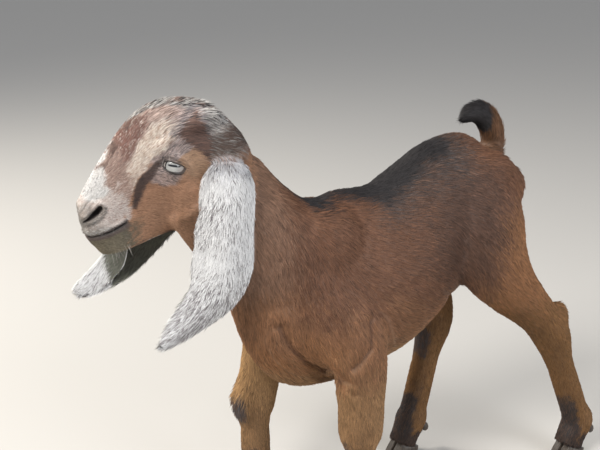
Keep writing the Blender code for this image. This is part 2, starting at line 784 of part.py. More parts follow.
def keep_largest(obj):
    """Drops every closed surface but the largest, and any face of no size."""
    made = bmesh.new()
    made.from_mesh(obj.data)
    bmesh.ops.remove_doubles(made, verts=made.verts, dist=MERGE)
    bmesh.ops.dissolve_degenerate(made, edges=made.edges, dist=MERGE)
    bmesh.ops.triangulate(made, faces=made.faces)
    made.faces.ensure_lookup_table()
    seen = set()
    groups = []
    for face in made.faces:
        if face.index in seen:
            continue
        stack, found = [face], []
        seen.add(face.index)
        while stack:
            here = stack.pop()
            found.append(here)
            for edge in here.edges:
                for near in edge.link_faces:
                    if near.index not in seen:
                        seen.add(near.index)
                        stack.append(near)
        groups.append(found)
    groups.sort(key=lambda faces: sum(f.calc_area() for f in faces))
    for faces in groups[:-1]:
        bmesh.ops.delete(made, geom=faces, context="FACES")
    loose = [v for v in made.verts if not v.link_faces]
    bmesh.ops.delete(made, geom=loose, context="VERTS")
    bmesh.ops.recalc_face_normals(made, faces=made.faces)
    made.to_mesh(obj.data)
    made.free()
    return obj


def finished(obj, material_name):
    """A node: one closed surface, smooth-shaded, with its own material."""
    keep_largest(obj)
    for polygon in obj.data.polygons:
        polygon.use_smooth = True
    obj.data.materials.clear()
    obj.data.materials.append(material(material_name))
    obj.hide_render = False
    obj.display_type = "TEXTURED"
    return obj


def dewclaws(flesh, group, nodes):
    """The two small claws behind each fetlock, set into the flesh."""
    for name, (x, y) in FEET.items():
        for label, outward in (("inner", 1 if y < 0 else -1), ("outer", -1 if y < 0 else 1)):
            centre = Vector((x + FETLOCK[0] * 0.72, y + outward * DEWCLAW_SPREAD, FETLOCK_HEIGHT * 0.72))
            turn = Matrix.Rotation(math.radians(-25), 3, "Y")
            grown = tuple(r + GAP for r in DEWCLAW_RADII)
            socket = cutter(ellipsoid("dewclaw_socket", centre, grown, turn, group, 10))
            combined(flesh, socket, "DIFFERENCE")
            made = ellipsoid(f"dewclaw_{name}_{label}", centre, DEWCLAW_RADII, turn, nodes, 10)
            finished(made, "horn")


def coronet(x, grow):
    """The line on which the foot x's leg ends and its hoof begins, as two (x, z) places."""
    middle = x - PASTERN_FORWARD
    slope = math.tan(CORONET_SLOPE)
    heel = (middle + 0.05, CORONET_HEIGHT - 0.05 * slope + grow)
    return heel, (middle - 0.05, CORONET_HEIGHT + 0.05 * slope + grow)


def hooves(flesh, forms, nodes):
    """Trims the legs at the coronet and stands each on its two claws."""
    for name, (x, y) in FEET.items():
        (x0, z0), (x1, z1) = coronet(x, 0.0)
        foot = [(x1, z1), (x0, z0), (x0, -0.05), (x1, -0.05)]
        combined(flesh, prism("foot_trim", foot, y - 0.05, y + 0.05, "Y", forms), "DIFFERENCE")
        (x0, z0), (x1, z1) = coronet(x, -GAP)
        above = [(x1, z1), (x0, z0), (x0, 0.10), (x1, 0.10)]
        for label, outward in (("inner", 1 if y < 0 else -1), ("outer", -1 if y < 0 else 1)):
            made = claw(x, y, outward, nodes)
            combined(made, prism("claw_trim", above, y - 0.05, y + 0.05, "Y", forms), "DIFFERENCE")
            made.name = f"hoof_{name}_{label}"
            finished(made, "horn")


def parted(flesh, tool, grown_tool, name, nodes):
    """Takes a region out of the flesh as a node of its own, and leaves a thin gap."""
    piece = copied(flesh, name, nodes)
    combined(piece, tool, "INTERSECT")
    combined(flesh, grown_tool, "DIFFERENCE")
    return finished(piece, "tail" if name == "tail" else "coat")


def part_flesh(flesh, forms, nodes):
    """Legs, tail, head and neck in turn, and what remains is the torso."""
    for name in FEET:
        kind, side = name.split("_")
        reach = (-0.20, -LEG_START[kind]) if side == "left" else (LEG_START[kind], 0.20)
        outline = LEG_REGIONS[kind]
        tool = prism(name + "_region", outline, *reach, "Y", forms)
        grown = prism(name + "_gap", outline, *reach, "Y", forms, GAP)
        parted(flesh, tool, grown, name, nodes)
    for name, outline in (("tail", TAIL_REGION), ("head", HEAD_REGION)):
        tool = prism(name + "_region", outline, -0.12, 0.12, "Y", forms)
        parted(flesh, tool, prism(name + "_gap", outline, -0.12, 0.12, "Y", forms, GAP), name, nodes)
    tool = half_space("neck_region", NECK_BACK, forms)
    parted(flesh, tool, half_space("neck_gap", NECK_BACK, forms, GAP), "neck", nodes)
    torso = copied(flesh, "torso", nodes)
    finished(torso, "coat")


def ears(flesh, forms, nodes):
    skin = swollen(flesh, "ear_seat", GAP, forms)
    for name in EARS:
        made = ear(name, nodes)
        combined(made, skin, "DIFFERENCE")
        finished(made, "ear")


def eyes(nodes):
    for name, side in (("eye_left", 1), ("eye_right", -1)):
        made = ellipsoid(name, eye_centre(side), (EYE_RADIUS,) * 3, eye_turn(side), nodes, EYE_SIDES)
        finished(made, "eye")


def set_on_origin(nodes):
    """Moves every node so that the goat stands over the origin."""
    places = [v.co for obj in nodes.objects for v in obj.data.vertices]
    low = [min(p[i] for p in places) for i in range(3)]
    high = [max(p[i] for p in places) for i in range(3)]
    shift = Vector((-(low[0] + high[0]) / 2, -(low[1] + high[1]) / 2, -low[2]))
    for obj in nodes.objects:
        obj.data.transform(Matrix.Translation(shift))
    print("stands over the origin after a move of", tuple(round(v, 5) for v in shift))


def main():
    clear_scene()
    nodes = collection("nubian_kid")
    forms = collection("forms")
    flesh = blended_flesh(forms)
    thinned(flesh, lambda place: headness(place) < 0.5, BODY_FACES)
    thinned(flesh, lambda place: headness(place) >= 0.5, HEAD_FACES)
    ears(flesh, forms, nodes)
    face_cuts(flesh, forms)
    dewclaws(flesh, forms, nodes)
    hooves(flesh, forms, nodes)
    part_flesh(flesh, forms, nodes)
    eyes(nodes)
    set_on_origin(nodes)
    for obj in list(forms.objects):
        bpy.data.objects.remove(obj, do_unlink=True)


main()
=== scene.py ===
import math

import bmesh
import bpy
import numpy as np
from mathutils import Euler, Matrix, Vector
from mathutils.bvhtree import BVHTree


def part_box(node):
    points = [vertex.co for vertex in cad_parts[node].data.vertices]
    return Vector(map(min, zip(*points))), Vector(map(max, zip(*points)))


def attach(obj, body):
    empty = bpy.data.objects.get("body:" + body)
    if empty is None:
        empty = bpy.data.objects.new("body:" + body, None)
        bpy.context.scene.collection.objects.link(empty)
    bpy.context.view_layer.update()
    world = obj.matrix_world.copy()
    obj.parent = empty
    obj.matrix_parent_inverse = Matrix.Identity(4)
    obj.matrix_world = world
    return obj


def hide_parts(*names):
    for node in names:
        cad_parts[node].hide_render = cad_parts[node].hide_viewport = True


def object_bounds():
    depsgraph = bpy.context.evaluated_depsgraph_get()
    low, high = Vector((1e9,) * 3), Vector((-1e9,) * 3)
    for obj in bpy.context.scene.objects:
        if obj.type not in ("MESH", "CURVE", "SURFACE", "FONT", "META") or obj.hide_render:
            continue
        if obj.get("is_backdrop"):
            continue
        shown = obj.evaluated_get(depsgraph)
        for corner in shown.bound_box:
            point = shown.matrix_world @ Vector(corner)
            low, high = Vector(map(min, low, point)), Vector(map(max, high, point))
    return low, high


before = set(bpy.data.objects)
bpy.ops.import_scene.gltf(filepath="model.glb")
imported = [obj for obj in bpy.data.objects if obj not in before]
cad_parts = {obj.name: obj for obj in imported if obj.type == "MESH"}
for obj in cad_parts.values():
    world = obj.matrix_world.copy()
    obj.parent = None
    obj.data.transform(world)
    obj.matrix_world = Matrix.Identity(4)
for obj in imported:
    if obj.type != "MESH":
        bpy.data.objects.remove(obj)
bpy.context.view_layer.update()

# Sizes are millimetres, and meshes, camera and lamps are in metres. The goat's own frame has its
# middle plane at y = 0, its nose towards -x and the floor at z = 0; HOME carries it to the packed
# model's frame.
MM = 0.001
POLL = np.array((-87.0, 0, 502))
HEAD_TURN = math.radians(17)
HEAD_PITCH = math.radians(25)
EYE = (69, 32.5, 26)
EYE_RADIUS = 13
EYE_LOOK = (0.25, 0.95, 0.18)
LID_TILT = math.radians(36)

FLESH = ("head", "neck", "torso", "tail", "foreleg_left", "foreleg_right", "hindleg_left", "hindleg_right")
EARS = ("ear_left", "ear_right")
SWELL = 0.4
VOXEL = 2.7
COAT_DEPTH = 1.2
EAR_COAT_DEPTH = 0.8
WHOLE_TURN = 2 * math.pi


def unit(a):
    return a / np.maximum(np.linalg.norm(a, axis=-1, keepdims=True), 1e-12)


def dot(a, b):
    return np.einsum("...i,...i->...", a, b)


def step(low, high, x):
    """0 below low, 1 above high, and smooth between; falls instead where low is above high."""
    t = np.clip((x - low) / (high - low), 0.0, 1.0)
    return t * t * (3 - 2 * t)


def bell(x, middle, width):
    """1 in the middle, fading to both sides."""
    return np.exp(-(((x - middle) / width) ** 2))


def mix(a, b, share):
    share = np.asarray(share)[..., None]
    return a * (1 - share) + b * share


def curve(x, places):
    """A value read from a few named places, linearly between them."""
    xs, ys = zip(*places)
    return np.interp(x, xs, ys)


def ripple(p, size, seed, waves=7):
    """A smooth pattern between about -1 and 1, whose patches are about size across."""
    rng = np.random.default_rng(seed)
    ways = unit(rng.normal(size=(waves, 3))) * (WHOLE_TURN / size) * rng.uniform(0.6, 1.5, (waves, 1))
    phases = rng.uniform(0, WHOLE_TURN, waves)
    return np.sin(p @ ways.T + phases).sum(axis=1) / math.sqrt(waves)


LEVEL = np.array((-math.cos(HEAD_TURN), math.sin(HEAD_TURN), 0))
Z = np.array((0.0, 0, 1))
LEFT = np.cross(Z, LEVEL)
FORWARD = LEVEL * math.cos(HEAD_PITCH) - Z * math.sin(HEAD_PITCH)
UP = np.cross(FORWARD, LEFT)
HEAD_AXES = np.array((FORWARD, LEFT, UP))
LEVEL_AXES = np.array((LEVEL, LEFT, Z))


def in_head(p):
    """Places in the head's own directions: forward, to its left, up."""
    return (p - POLL) @ HEAD_AXES.T


def in_level(p):
    """Places in the head's level directions: ahead, to its left, up."""
    return (p - POLL) @ LEVEL_AXES.T


def from_head(q):
    return POLL + np.asarray(q) @ HEAD_AXES


def side_of(name):
    return 1 if name.endswith("left") else -1


low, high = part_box("eye_left")
HOME = np.array(low + high) / 2 / MM - from_head(EYE)


def packed(p):
    return (np.asarray(p) + HOME) * MM


def unpacked(p):
    return np.asarray(p) / MM - HOME


def new_object(name, data):
    obj = bpy.data.objects.new(name, data)
    bpy.context.scene.collection.objects.link(obj)
    return obj


def fill(node, values):
    for name, value in values.items():
        node.inputs[name].default_value = value


# The camera looks at the goat's left side from a little in front and above: degrees, and a reach in metres.
CAMERA_TURN, CAMERA_HEIGHT, CAMERA_REACH, CAMERA_WIDTH = -32, 16.5, 1.22, 33
CAMERA_TARGET = (0, 0, 400)


def set_camera():
    data = bpy.data.cameras.new("camera")
    data.sensor_fit = "HORIZONTAL"
    data.angle = math.radians(CAMERA_WIDTH)
    data.clip_end = 100
    camera = new_object("camera", data)
    turn = Euler((math.radians(90 - CAMERA_HEIGHT), 0, math.radians(CAMERA_TURN)))
    camera.rotation_euler = turn
    camera.location = Vector(packed(CAMERA_TARGET)) + turn.to_matrix() @ Vector((0, 0, CAMERA_REACH))
    bpy.context.scene.camera = camera


def area_light(name, place, aim, size, power, colour):
    data = bpy.data.lights.new(name, "AREA")
    data.shape = "DISK"
    data.size = size
    data.energy = power
    data.color = colour
    lamp = new_object(name, data)
    lamp.location = place
    lamp.rotation_euler = (Vector(place) - Vector(aim)).to_track_quat("Z", "Y").to_euler()


def set_light():
    area_light("key", (-2.3, -0.9, 2.4), (0, 0, 0.3), 1.2, 86, (1, 0.97, 0.92))
    area_light("rim", (-1.3, 1.9, 2), (-0.1, 0, 0.4), 0.7, 58, (1, 0.95, 0.86))
    area_light("fill", (1, -2.6, 1.3), (0, 0, 0.3), 2, 44, (0.95, 0.97, 1))
    world = bpy.data.worlds.new("studio")
    world.use_nodes = True
    fill(world.node_tree.nodes["Background"], {"Color": (0.92, 0.95, 1, 1), "Strength": 0.42})
    bpy.context.scene.world = world
    bpy.context.scene.view_settings.view_transform = "Standard"


def principled(name, roughness, specular):
    made = bpy.data.materials.new(name)
    made.use_nodes = True
    shader = made.node_tree.nodes["Principled BSDF"]
    fill(shader, {"Roughness": roughness, "Specular IOR Level": specular})
    return made, shader


def plain(name, roughness, specular, colour):
    """A material of one colour."""
    made, shader = principled(name, roughness, specular)
    fill(shader, {"Base Color": (*colour, 1)})
    return made


def coloured(name, roughness, specular, strength=0.0, size=0.0):
    """A material that takes its colour from the markings, with a fine grain where asked."""
    made, shader = principled(name, roughness, specular)
    tree = made.node_tree
    colour = tree.nodes.new("ShaderNodeVertexColor")
    colour.layer_name = "coat"
    tree.links.new(colour.outputs["Color"], shader.inputs["Base Color"])
    if strength:
        place = tree.nodes.new("ShaderNodeTexCoord")
        grain = tree.nodes.new("ShaderNodeTexNoise")
        fill(grain, {"Scale": size, "Detail": 4})
        bump = tree.nodes.new("ShaderNodeBump")
        fill(bump, {"Strength": strength, "Distance": 0.6 * MM})
        tree.links.new(place.outputs["Object"], grain.inputs["Vector"])
        tree.links.new(grain.outputs["Fac"], bump.inputs["Height"])
        tree.links.new(bump.outputs["Normal"], shader.inputs["Normal"])
    return made


def shade_smooth(mesh):
    mesh.polygons.foreach_set("use_smooth", np.ones(len(mesh.polygons), bool))


def mesh_from(name, points, faces):
    """A mesh from an array of places in the goat's frame and an array of triangles or quads."""
    mesh = bpy.data.meshes.new(name)
    corners = faces.shape[1]
    mesh.vertices.add(len(points))
    mesh.vertices.foreach_set("co", packed(points).astype(np.float32).ravel())
    mesh.loops.add(faces.size)
    mesh.loops.foreach_set("vertex_index", np.ascontiguousarray(faces, np.int32).ravel())
    mesh.polygons.add(len(faces))
    mesh.polygons.foreach_set("loop_start", np.arange(0, faces.size, corners, dtype=np.int32))
    mesh.update(calc_edges=True)
    shade_smooth(mesh)
    return mesh


def read(items, field, width, kind=np.float32):
    """One field of each item of a mesh, in rows."""
    found = np.empty(len(items) * width, kind)
    items.foreach_get(field, found)
    return found.reshape(-1, width)


def places(mesh):
    return unpacked(read(mesh.vertices, "co", 3).astype(float))


def normals(mesh):
    return read(mesh.vertex_normals, "vector", 3).astype(float)


def edges_of(mesh):
    return read(mesh.edges, "vertices", 2, np.int32)


def move_to(mesh, co):
    mesh.vertices.foreach_set("co", packed(co).astype(np.float32).ravel())
    mesh.update()


def triangles(mesh):
    mesh.calc_loop_triangles()
    return read(mesh.loop_triangles, "vertices", 3, np.int32)


def neighbour_mean(values, edges):
    """At each vertex the mean of what its neighbours hold."""
    count = len(values)
    a, b = edges[:, 0], edges[:, 1]
    shares = np.bincount(a, minlength=count) + np.bincount(b, minlength=count)
    total = np.empty_like(values)
    for k in range(values.shape[1]):
        total[:, k] = np.bincount(a, values[b, k], count) + np.bincount(b, values[a, k], count)
    return total / np.maximum(shares, 1)[:, None]


def relaxed(co, edges, rounds, where=1.0, steps=(0.5, -0.52)):
    """Moves each place towards its neighbours' mean and, unless told else, a little further back out."""
    where = np.broadcast_to(where, len(co))[:, None]
    for length in steps * rounds:
        co = co + (neighbour_mean(co, edges) - co) * length * where
    return co


def set_colours(mesh, colours):
    layer = mesh.color_attributes.new(name="coat", type="FLOAT_COLOR", domain="POINT")
    full = np.ones((len(colours), 4), np.float32)
    full[:, :3] = colours
    layer.data.foreach_set("color", full.ravel())


# Skin

def opened(mesh):
    made = bmesh.new()
    made.from_mesh(mesh)
    return made


def merged(node):
    """A node's surface with its corners joined."""
    made = opened(node.data)
    bmesh.ops.remove_doubles(made, verts=made.verts, dist=1e-6)
    return made


def turned_to_mesh(made, mesh):
    made.to_mesh(mesh)
    made.free()
    return mesh


def finer(name, node):
    """A node's own surface, with each face split twice."""
    made = merged(node)
    for _ in range(2):
        bmesh.ops.subdivide_edges(made, edges=list(made.edges), cuts=1, use_grid_fill=True)
    return turned_to_mesh(made, bpy.data.meshes.new(name))


def swollen_flesh():
    """The CAD flesh and eyeballs as overlapping closed surfaces, the flesh a little swollen."""
    made = bmesh.new()
    for name in FLESH + ("eye_left", "eye_right"):
        part = merged(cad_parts[name])
        part.normal_update()
        if not name.startswith("eye"):
            for vertex, way in [(v, v.normal.copy()) for v in part.verts]:
                vertex.co += way * SWELL * MM
        piece = turned_to_mesh(part, bpy.data.meshes.new("piece"))
        made.from_mesh(piece)
        bpy.data.meshes.remove(piece)
    mesh = turned_to_mesh(made, bpy.data.meshes.new("skin"))
    mesh.materials.clear()
    return mesh


def remeshed(mesh):
    obj = new_object("skin", mesh)
    change = obj.modifiers.new("Remesh", "REMESH")
    change.mode = "VOXEL"
    change.voxel_size = VOXEL * MM
    obj.data = bpy.data.meshes.new_from_object(obj.evaluated_get(bpy.context.evaluated_depsgraph_get()))
    obj.modifiers.clear()
    return obj


def face_zone(q):
    """Where the skin is made finer once: the face in front of the ears."""
    return (q[:, 0] > 30) & (abs(q[:, 1]) < 52) & (q[:, 2] > -62) & (q[:, 0] < 250)


# The line of the mouth: how far round from the front, in degrees, and how high.
MOUTH = ((0, -5), (20, -6), (38, -8.4), (55, -9.4), (75, -9), (92, -8), (100, -7))
MOUTH_CENTRE = 148


def mouth_place(q):
    """How far round the muzzle a place is, in degrees, and how far above the line of the mouth."""
    turn = abs(np.degrees(np.arctan2(q[:, 1], q[:, 0] - MOUTH_CENTRE)))
    return turn, q[:, 2] - curve(turn, MOUTH)


def eye_axes(side):
    """The eye's own directions: along its slit, out of the head, and across the slit."""
    out = unit(FORWARD * EYE_LOOK[0] + LEFT * side * EYE_LOOK[1] + UP * EYE_LOOK[2])
    slit = FORWARD * math.cos(LID_TILT) + UP * math.sin(LID_TILT)
    slit = unit(slit - out * (slit @ out))
    return np.array((slit, out, np.cross(slit, out) * side))


def eye_centre(side):
    return from_head((EYE[0], side * EYE[1], EYE[2]))


def fine_zone(q, p):
    """Where it is made finer once more: eyes, nostrils and mouth."""
    found = np.zeros(len(q), bool)
    for side in (-1, 1):
        found |= np.linalg.norm(p - eye_centre(side), axis=1) < 23.5
        found |= np.linalg.norm(q - (170, side * 18, 14), axis=1) < 18
    turn, above = mouth_place(q)
    return found | ((turn < 112) & (abs(above) < 6) & (q[:, 0] > 130))


def refine(mesh):
    """Splits the faces of the face once, and those of eyes, nostrils and mouth once more."""
    made = opened(mesh)
    for level in (0, 1):
        made.faces.ensure_lookup_table()
        middles = unpacked([f.calc_center_median() for f in made.faces])
        q = in_head(middles)
        zone = face_zone(q)
        if level:
            zone &= fine_zone(q, middles)
        edges = {e for i in np.nonzero(zone)[0] for e in made.faces[i].edges}
        bmesh.ops.subdivide_edges(made, edges=list(edges), cuts=1, use_grid_fill=True)
    turned_to_mesh(made, mesh)


def node_of_each(p):
    """The CAD node nearest each place, as an index into FLESH + EARS."""
    corners, faces, owners = [], [], []
    for k, name in enumerate(FLESH + EARS):
        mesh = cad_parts[name].data
        found = triangles(mesh) + len(corners)
        corners += [v.co.copy() for v in mesh.vertices]
        faces += found.tolist()
        owners += [k] * len(found)
    tree = BVHTree.FromPolygons(corners, faces)
    return np.array([owners[tree.find_nearest(Vector(v))[2]] for v in packed(p)])


# Lines on the side of the muzzle, from front to back: along, up, half width.
NOSTRIL_LINE = ((185.5, 11, 0.6), (180, 12.4, 1.5), (173.5, 13.8, 2.2), (167.5, 15.6, 3.1), (162.5, 18, 2.7))
WING_LINE = ((183, 21.5, 0), (175, 27, 0), (166, 30, 0), (159, 27.5, 0))


def near_line(a, b, line):
    """Distance in a plane to a line of places that each have a half width, less that half width."""
    best = np.full(len(a), 1000.0)
    for (a0, b0, w0), (a1, b1, w1) in zip(line, line[1:]):
        da, db = a1 - a0, b1 - b0
        t = np.clip(((a - a0) * da + (b - b0) * db) / (da * da + db * db), 0, 1)
        best = np.minimum(best, np.hypot(a - a0 - da * t, b - b0 - db * t) - (w0 + (w1 - w0) * t))
    return best


LID_REACH = 13.5
UPPER_LID, LOWER_LID = 5.2, 5.6


def lid_height(s, upper):
    """Half the lids' opening at a place along it: the upper lid is fullest ahead, the lower behind."""
    along = s / LID_REACH
    return np.where(upper, UPPER_LID * (1 + 0.42 * along), LOWER_LID * (1 - 0.22 * along))


def lid_taper(s):
    """1 in the middle of the opening, 0 at its corners."""
    return 1 - abs(s / LID_REACH) ** np.where(np.asarray(s) < 0, 4.6, 2.8)


def eye_form(s, t):
    """1 on the rim of the lids' opening, less inside and more outside."""
    return abs(t) / np.maximum(lid_height(s, t > 0), 2) + 1 - lid_taper(s)


def near_eye(p, side):
    """A place in the eye's own directions."""
    return ((p - eye_centre(side)) @ eye_axes(side).T).T


# Folds of skin, as lines on the side of the body, seen square on: along, up, half width; and their depth.
CREASES = (
    (((-56, 296, 0), (-43, 268, 0), (-18, 240, 0), (16, 219, 0)), 5.5),
    (((24, 240, 0), (46, 262, 0), (52, 292, 0)), 4),
    (((-10, 232, 0), (4, 214, 0), (24, 204, 0)), 2),
    (((176, 300, 0), (196, 284, 0), (222, 276, 0)), 1.8),
)


def carve_muzzle(p, n, q, face):
    """Lips, the cleft below the nose, and nostrils."""
    u, v, w = q.T
    turn, above = mouth_place(q)
    muzzle = face & (u > 120)
    groove = 2.4 * bell(above, 0, 1)
    upper = 1.1 * bell(above, 4, 2.2)
    lower = 0.7 * bell(above, -3.6, 2.4)
    p = p + n * ((upper + lower - groove) * step(103, 88, turn) * muzzle)[:, None]
    cleft = bell(v, 0, 1.2) * step(172, 182, u) * step(-8, -2, w) * step(24, 16, w)
    p = p - n * (cleft * muzzle)[:, None]
    gap = near_line(u, w, NOSTRIL_LINE)
    deep = 6.2 * step(0.9, -2.2, gap)
    wing = 1.3 * bell(gap, 2.6, 1.7) * np.where(w > 16.5, 1.3, 0.5)
    fold = 0.9 * bell(near_line(u, w, WING_LINE), 0, 1.4)
    for side in (-1, 1):
        beside = muzzle & (v * side > 4)
        inwards = -LEFT * side * 0.92 - FORWARD * 0.25 + UP * 0.1
        p = p + (inwards[None] * deep[:, None] + n * (wing - fold)[:, None]) * beside[:, None]
    return p


def carve_eye(p, edges, side, face):
    """Lids over an eyeball, with an opening, a crease above it and a bag below."""
    s, out, t = near_eye(p, side)
    soft = step(33, 21, np.hypot(s, t)) * (out > 0) * (eye_form(s, t) > 0.9) * face
    p = relaxed(p, edges, 16, soft, (0.6,))
    local = near_eye(p, side)
    s, out, t = local
    form = eye_form(s, t)
    reach = np.linalg.norm(local, axis=0)
    near = (out > 0) & (np.hypot(s, t) < 24) & face
    lid = EYE_RADIUS + 1.3 + 0.6 * (t > 0)
    radius = np.where(reach < lid, lid, reach + (lid - reach) * step(2.7, 1.3, form))
    inside = EYE_RADIUS - 3 + 4.6 * step(0.88, 1.02, form)
    radius = np.where(form < 1.02, np.minimum(radius, inside), radius)
    hood = 1.6 * bell(form, 2, 0.45) * (t > 0) * step(17, 8, abs(s + 2))
    crease = 1.1 * bell(form, 1.42, 0.13) * step(15, 9, abs(s)) * np.where(t > 0, 1, 0.6)
    bag = 0.6 * bell(form, 2, 0.3) * (t < 0)
    radius = radius + hood - crease + bag
    return np.where(near[:, None], eye_centre(side) + (local / reach).T @ eye_axes(side) * radius[:, None], p)


def fold_body(p, n):
    """Each fold is a cut with a low swelling beside it."""
    for line, depth in CREASES:
        gap = near_line(p[:, 0], p[:, 2], line)
        cut = depth * (bell(gap, 0, 5.2) - 0.32 * bell(gap, 14, 8))
        p = p - n * (cut * (abs(p[:, 1]) > 22) * step(0, 0.5, abs(n[:, 1])))[:, None]
    return p


def ear_skin(name):
    """An ear's own surface, made finer and smooth, with its root pushed into the head."""
    mesh = finer(name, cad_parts[name])
    co = relaxed(places(mesh), edges_of(mesh), 12)
    move_to(mesh, co)
    co = co - normals(mesh) * EAR_COAT_DEPTH
    head = opened(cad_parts["head"].data)
    tree = BVHTree.FromBMesh(head)
    for i, place in enumerate(packed(co)):
        far = tree.find_nearest(Vector(place))[3] / MM
        co[i] -= LEFT * side_of(name) * 7 * float(step(4, 1.8, far))
    head.free()
    move_to(mesh, co)
    return mesh


def make_skin():
    """One skin: head, body, legs and tail as one surface, and the ears set into it."""
    obj = remeshed(swollen_flesh())
    mesh = obj.data
    move_to(mesh, relaxed(places(mesh), edges_of(mesh), 9))
    refine(mesh)
    edges = edges_of(mesh)
    co = places(mesh)
    co = relaxed(co, edges, 8, face_zone(in_head(co)).astype(float))
    move_to(mesh, co)
    owner = node_of_each(co)
    short_coat = step(50, 120, in_head(co)[:, 0]) * (owner == FLESH.index("head"))
    depth = SWELL + COAT_DEPTH * (1 - 0.45 * short_coat)
    co = co - normals(mesh) * depth[:, None]
    move_to(mesh, co)
    q = in_head(co)
    face = face_zone(q)
    co = carve_muzzle(co, normals(mesh), q, face)
    for side in (-1, 1):
        co = carve_eye(co, edges, side, face)
    move_to(mesh, fold_body(co, normals(mesh)))
    made = opened(mesh)
    for k, name in enumerate(EARS):
        ear = ear_skin(name)
        owner = np.append(owner, np.full(len(ear.vertices), len(FLESH) + k))
        made.from_mesh(ear)
    turned_to_mesh(made, mesh)
    shade_smooth(mesh)
    return obj, owner


# Lie of the coat

# A place in the goat's frame and the way the coat lies there, six numbers each; both are mirrored to
# the other side.
BODY_LIE = (
    (-32, 0, 463, 0.72, 0, -0.6), (28, 0, 430, 0.9, 0, -0.2), (-50, 45, 410, 0.25, 0, -1),
    (-30, 55, 360, 0.2, 0, -1), (-150, 0, 410, 0.35, 0, -0.9), (-80, 20, 310, 0.15, 0, -1),
    (-40, 30, 220, 0.7, 0, -0.7), (60, 0, 438, 1, 0, 0), (50, 55, 390, 0.75, 0, -0.65),
    (-20, 60, 310, 0.25, 0, -1), (40, 80, 270, 0.3, 0, -1), (120, 70, 360, 0.95, 0, -0.35),
    (120, 70, 270, 0.9, 0, -0.5), (100, 0, 200, 1, 0, 0.1), (180, 0, 235, 1, 0, 0.3),
    (180, 0, 477, 1, 0, 0.1), (170, 50, 430, 0.95, 0, -0.3), (200, 60, 350, 0.75, 0, -0.7),
    (230, 50, 450, 0.85, 0, -0.5), (280, 0, 460, 0.8, 0, -0.6), (260, 80, 360, 0.45, 0, -0.9),
    (310, 40, 380, 0.1, 0, -1), (260, 20, 300, 0.2, 0, -1),
)
# The first rows stand for the neck, and the head looks at those alone.
NECK_ROWS = 5
# The same on the head, in its own directions: forward, to its left, up.
HEAD_LIE = (
    (150, 0, 50, -0.85, 0, 0.5), (110, 0, 76, -0.9, 0, 0.4), (70, 0, 90, -1, 0, 0.05),
    (30, 0, 83, -0.9, 0, -0.35), (0, 0, 55, -0.6, 0, -0.8), (80, 36, 60, -0.95, 0.1, 0.35),
    (30, 40, 50, -0.7, 0, -0.7), (20, 34, 60, -0.6, 0.1, -0.75), (70, 42, 42, -0.8, 0, 0.55),
    (80, 38, 8, -0.6, 0, -0.7), (60, 42, -20, -0.75, 0, -0.65), (110, 30, -10, -0.85, 0, -0.5),
    (80, 30, -45, -0.95, 0, -0.2), (170, 0, -40, -1, 0, -0.1), (165, 22, 0, -0.5, 0, -0.8),
    (150, 24, 25, -0.95, 0, 0.1), (160, 20, -20, -0.9, 0, -0.3), (185, 0, 20, -0.3, 0, 0.9),
)
# Lines that the coat follows, as places in the goat's frame.
LIE_LINES = {
    "foreleg_left": ((45, -66, 250), (48, -66, 140), (50, -66, 54), (32, -66, 10)),
    "foreleg_right": ((-10, 62, 250), (-32, 62, 147), (-30, 62, 54), (-48, 62, 10)),
    "hindleg_left": ((286, -64, 290), (345, -69, 230), (368, -70, 200), (434, -70, 54), (416, -70, 10)),
    "hindleg_right": ((243, 62, 285), (268, 63, 220), (266, 63, 192), (232, 63, 54), (214, 63, 10)),
    "tail": (
        (301, 0, 450), (303, 0, 471), (298, 0, 490), (287, 0, 505), (271, 0, 512), (257, 0, 508),
        (240, 0, 494),
    ),
}
# Each ear's middle line in the head's level directions: ahead, out, up.
EAR_LINES = {
    "ear_left": ((18, 40, 6), (18, 57, -21), (21, 63, -67), (25, 62, -118), (44, 60, -160), (98, 60, -206)),
    "ear_right": (
        (18, 40, 6), (34, 58, -22), (78, 66, -72), (122, 66, -117), (154, 59, -146), (184, 52, -168),
    ),
}


def along_line(line):
    line = np.array(line)
    return [((a + b) / 2, b - a) for a, b in zip(line, line[1:])]


def guides(name):
    """Where the lie of the coat is known, for one node: places and ways in the goat's frame."""
    if name in EARS:
        return along_line(POLL + (np.array(EAR_LINES[name]) * (1, side_of(name), 1)) @ LEVEL_AXES)
    if name == "tail":
        return along_line(LIE_LINES["tail"])
    found = []
    for side in (-1, 1):
        mirror = (1, side, 1) * 2
        if name in ("head", "neck"):
            found += [(from_head(row[:3]), row[3:] @ HEAD_AXES) for row in np.array(HEAD_LIE) * mirror]
        rows = BODY_LIE[:NECK_ROWS] if name == "head" else BODY_LIE
        found += [(row[:3], row[3:]) for row in np.array(rows) * mirror]
    if "leg" in name:
        found += along_line(LIE_LINES[name]) * 2
    return found


def lie_of_coat(p, n, edges, owner):
    """At each place the way its hair lies, along the surface."""
    way = np.zeros_like(p)
    for k, name in enumerate(FLESH + EARS):
        mine = owner == k
        total = np.zeros((mine.sum(), 3))
        for place, direction in guides(name):
            direction = unit(direction)
            away = p[mine] - place
            gap = (away**2).sum(axis=1)
            fan = 0.009 * (away - direction * dot(away, direction)[:, None]) if name in EARS else 0
            total += (direction + fan) * (300 / (gap + 300))[:, None] ** 2
        way[mine] = total
    for _ in range(25):
        way = unit(way)
        way = way + neighbour_mean(way, edges)
        way = way - n * dot(way, n)[:, None]
    turn = 0.12 * ripple(p, 60, 3) + 0.06 * ripple(p, 20, 4)
    return turned(unit(way), n, turn)


def turned(way, n, turn):
    """A way along the surface, turned about the surface's own direction."""
    return way * np.cos(turn)[:, None] + np.cross(n, way) * np.sin(turn)[:, None]


# Markings, with painted shade and highlights, shared by skin and coat

def shade(*parts):
    """A linear colour, from thousandths."""
    return np.array(parts) / 1000


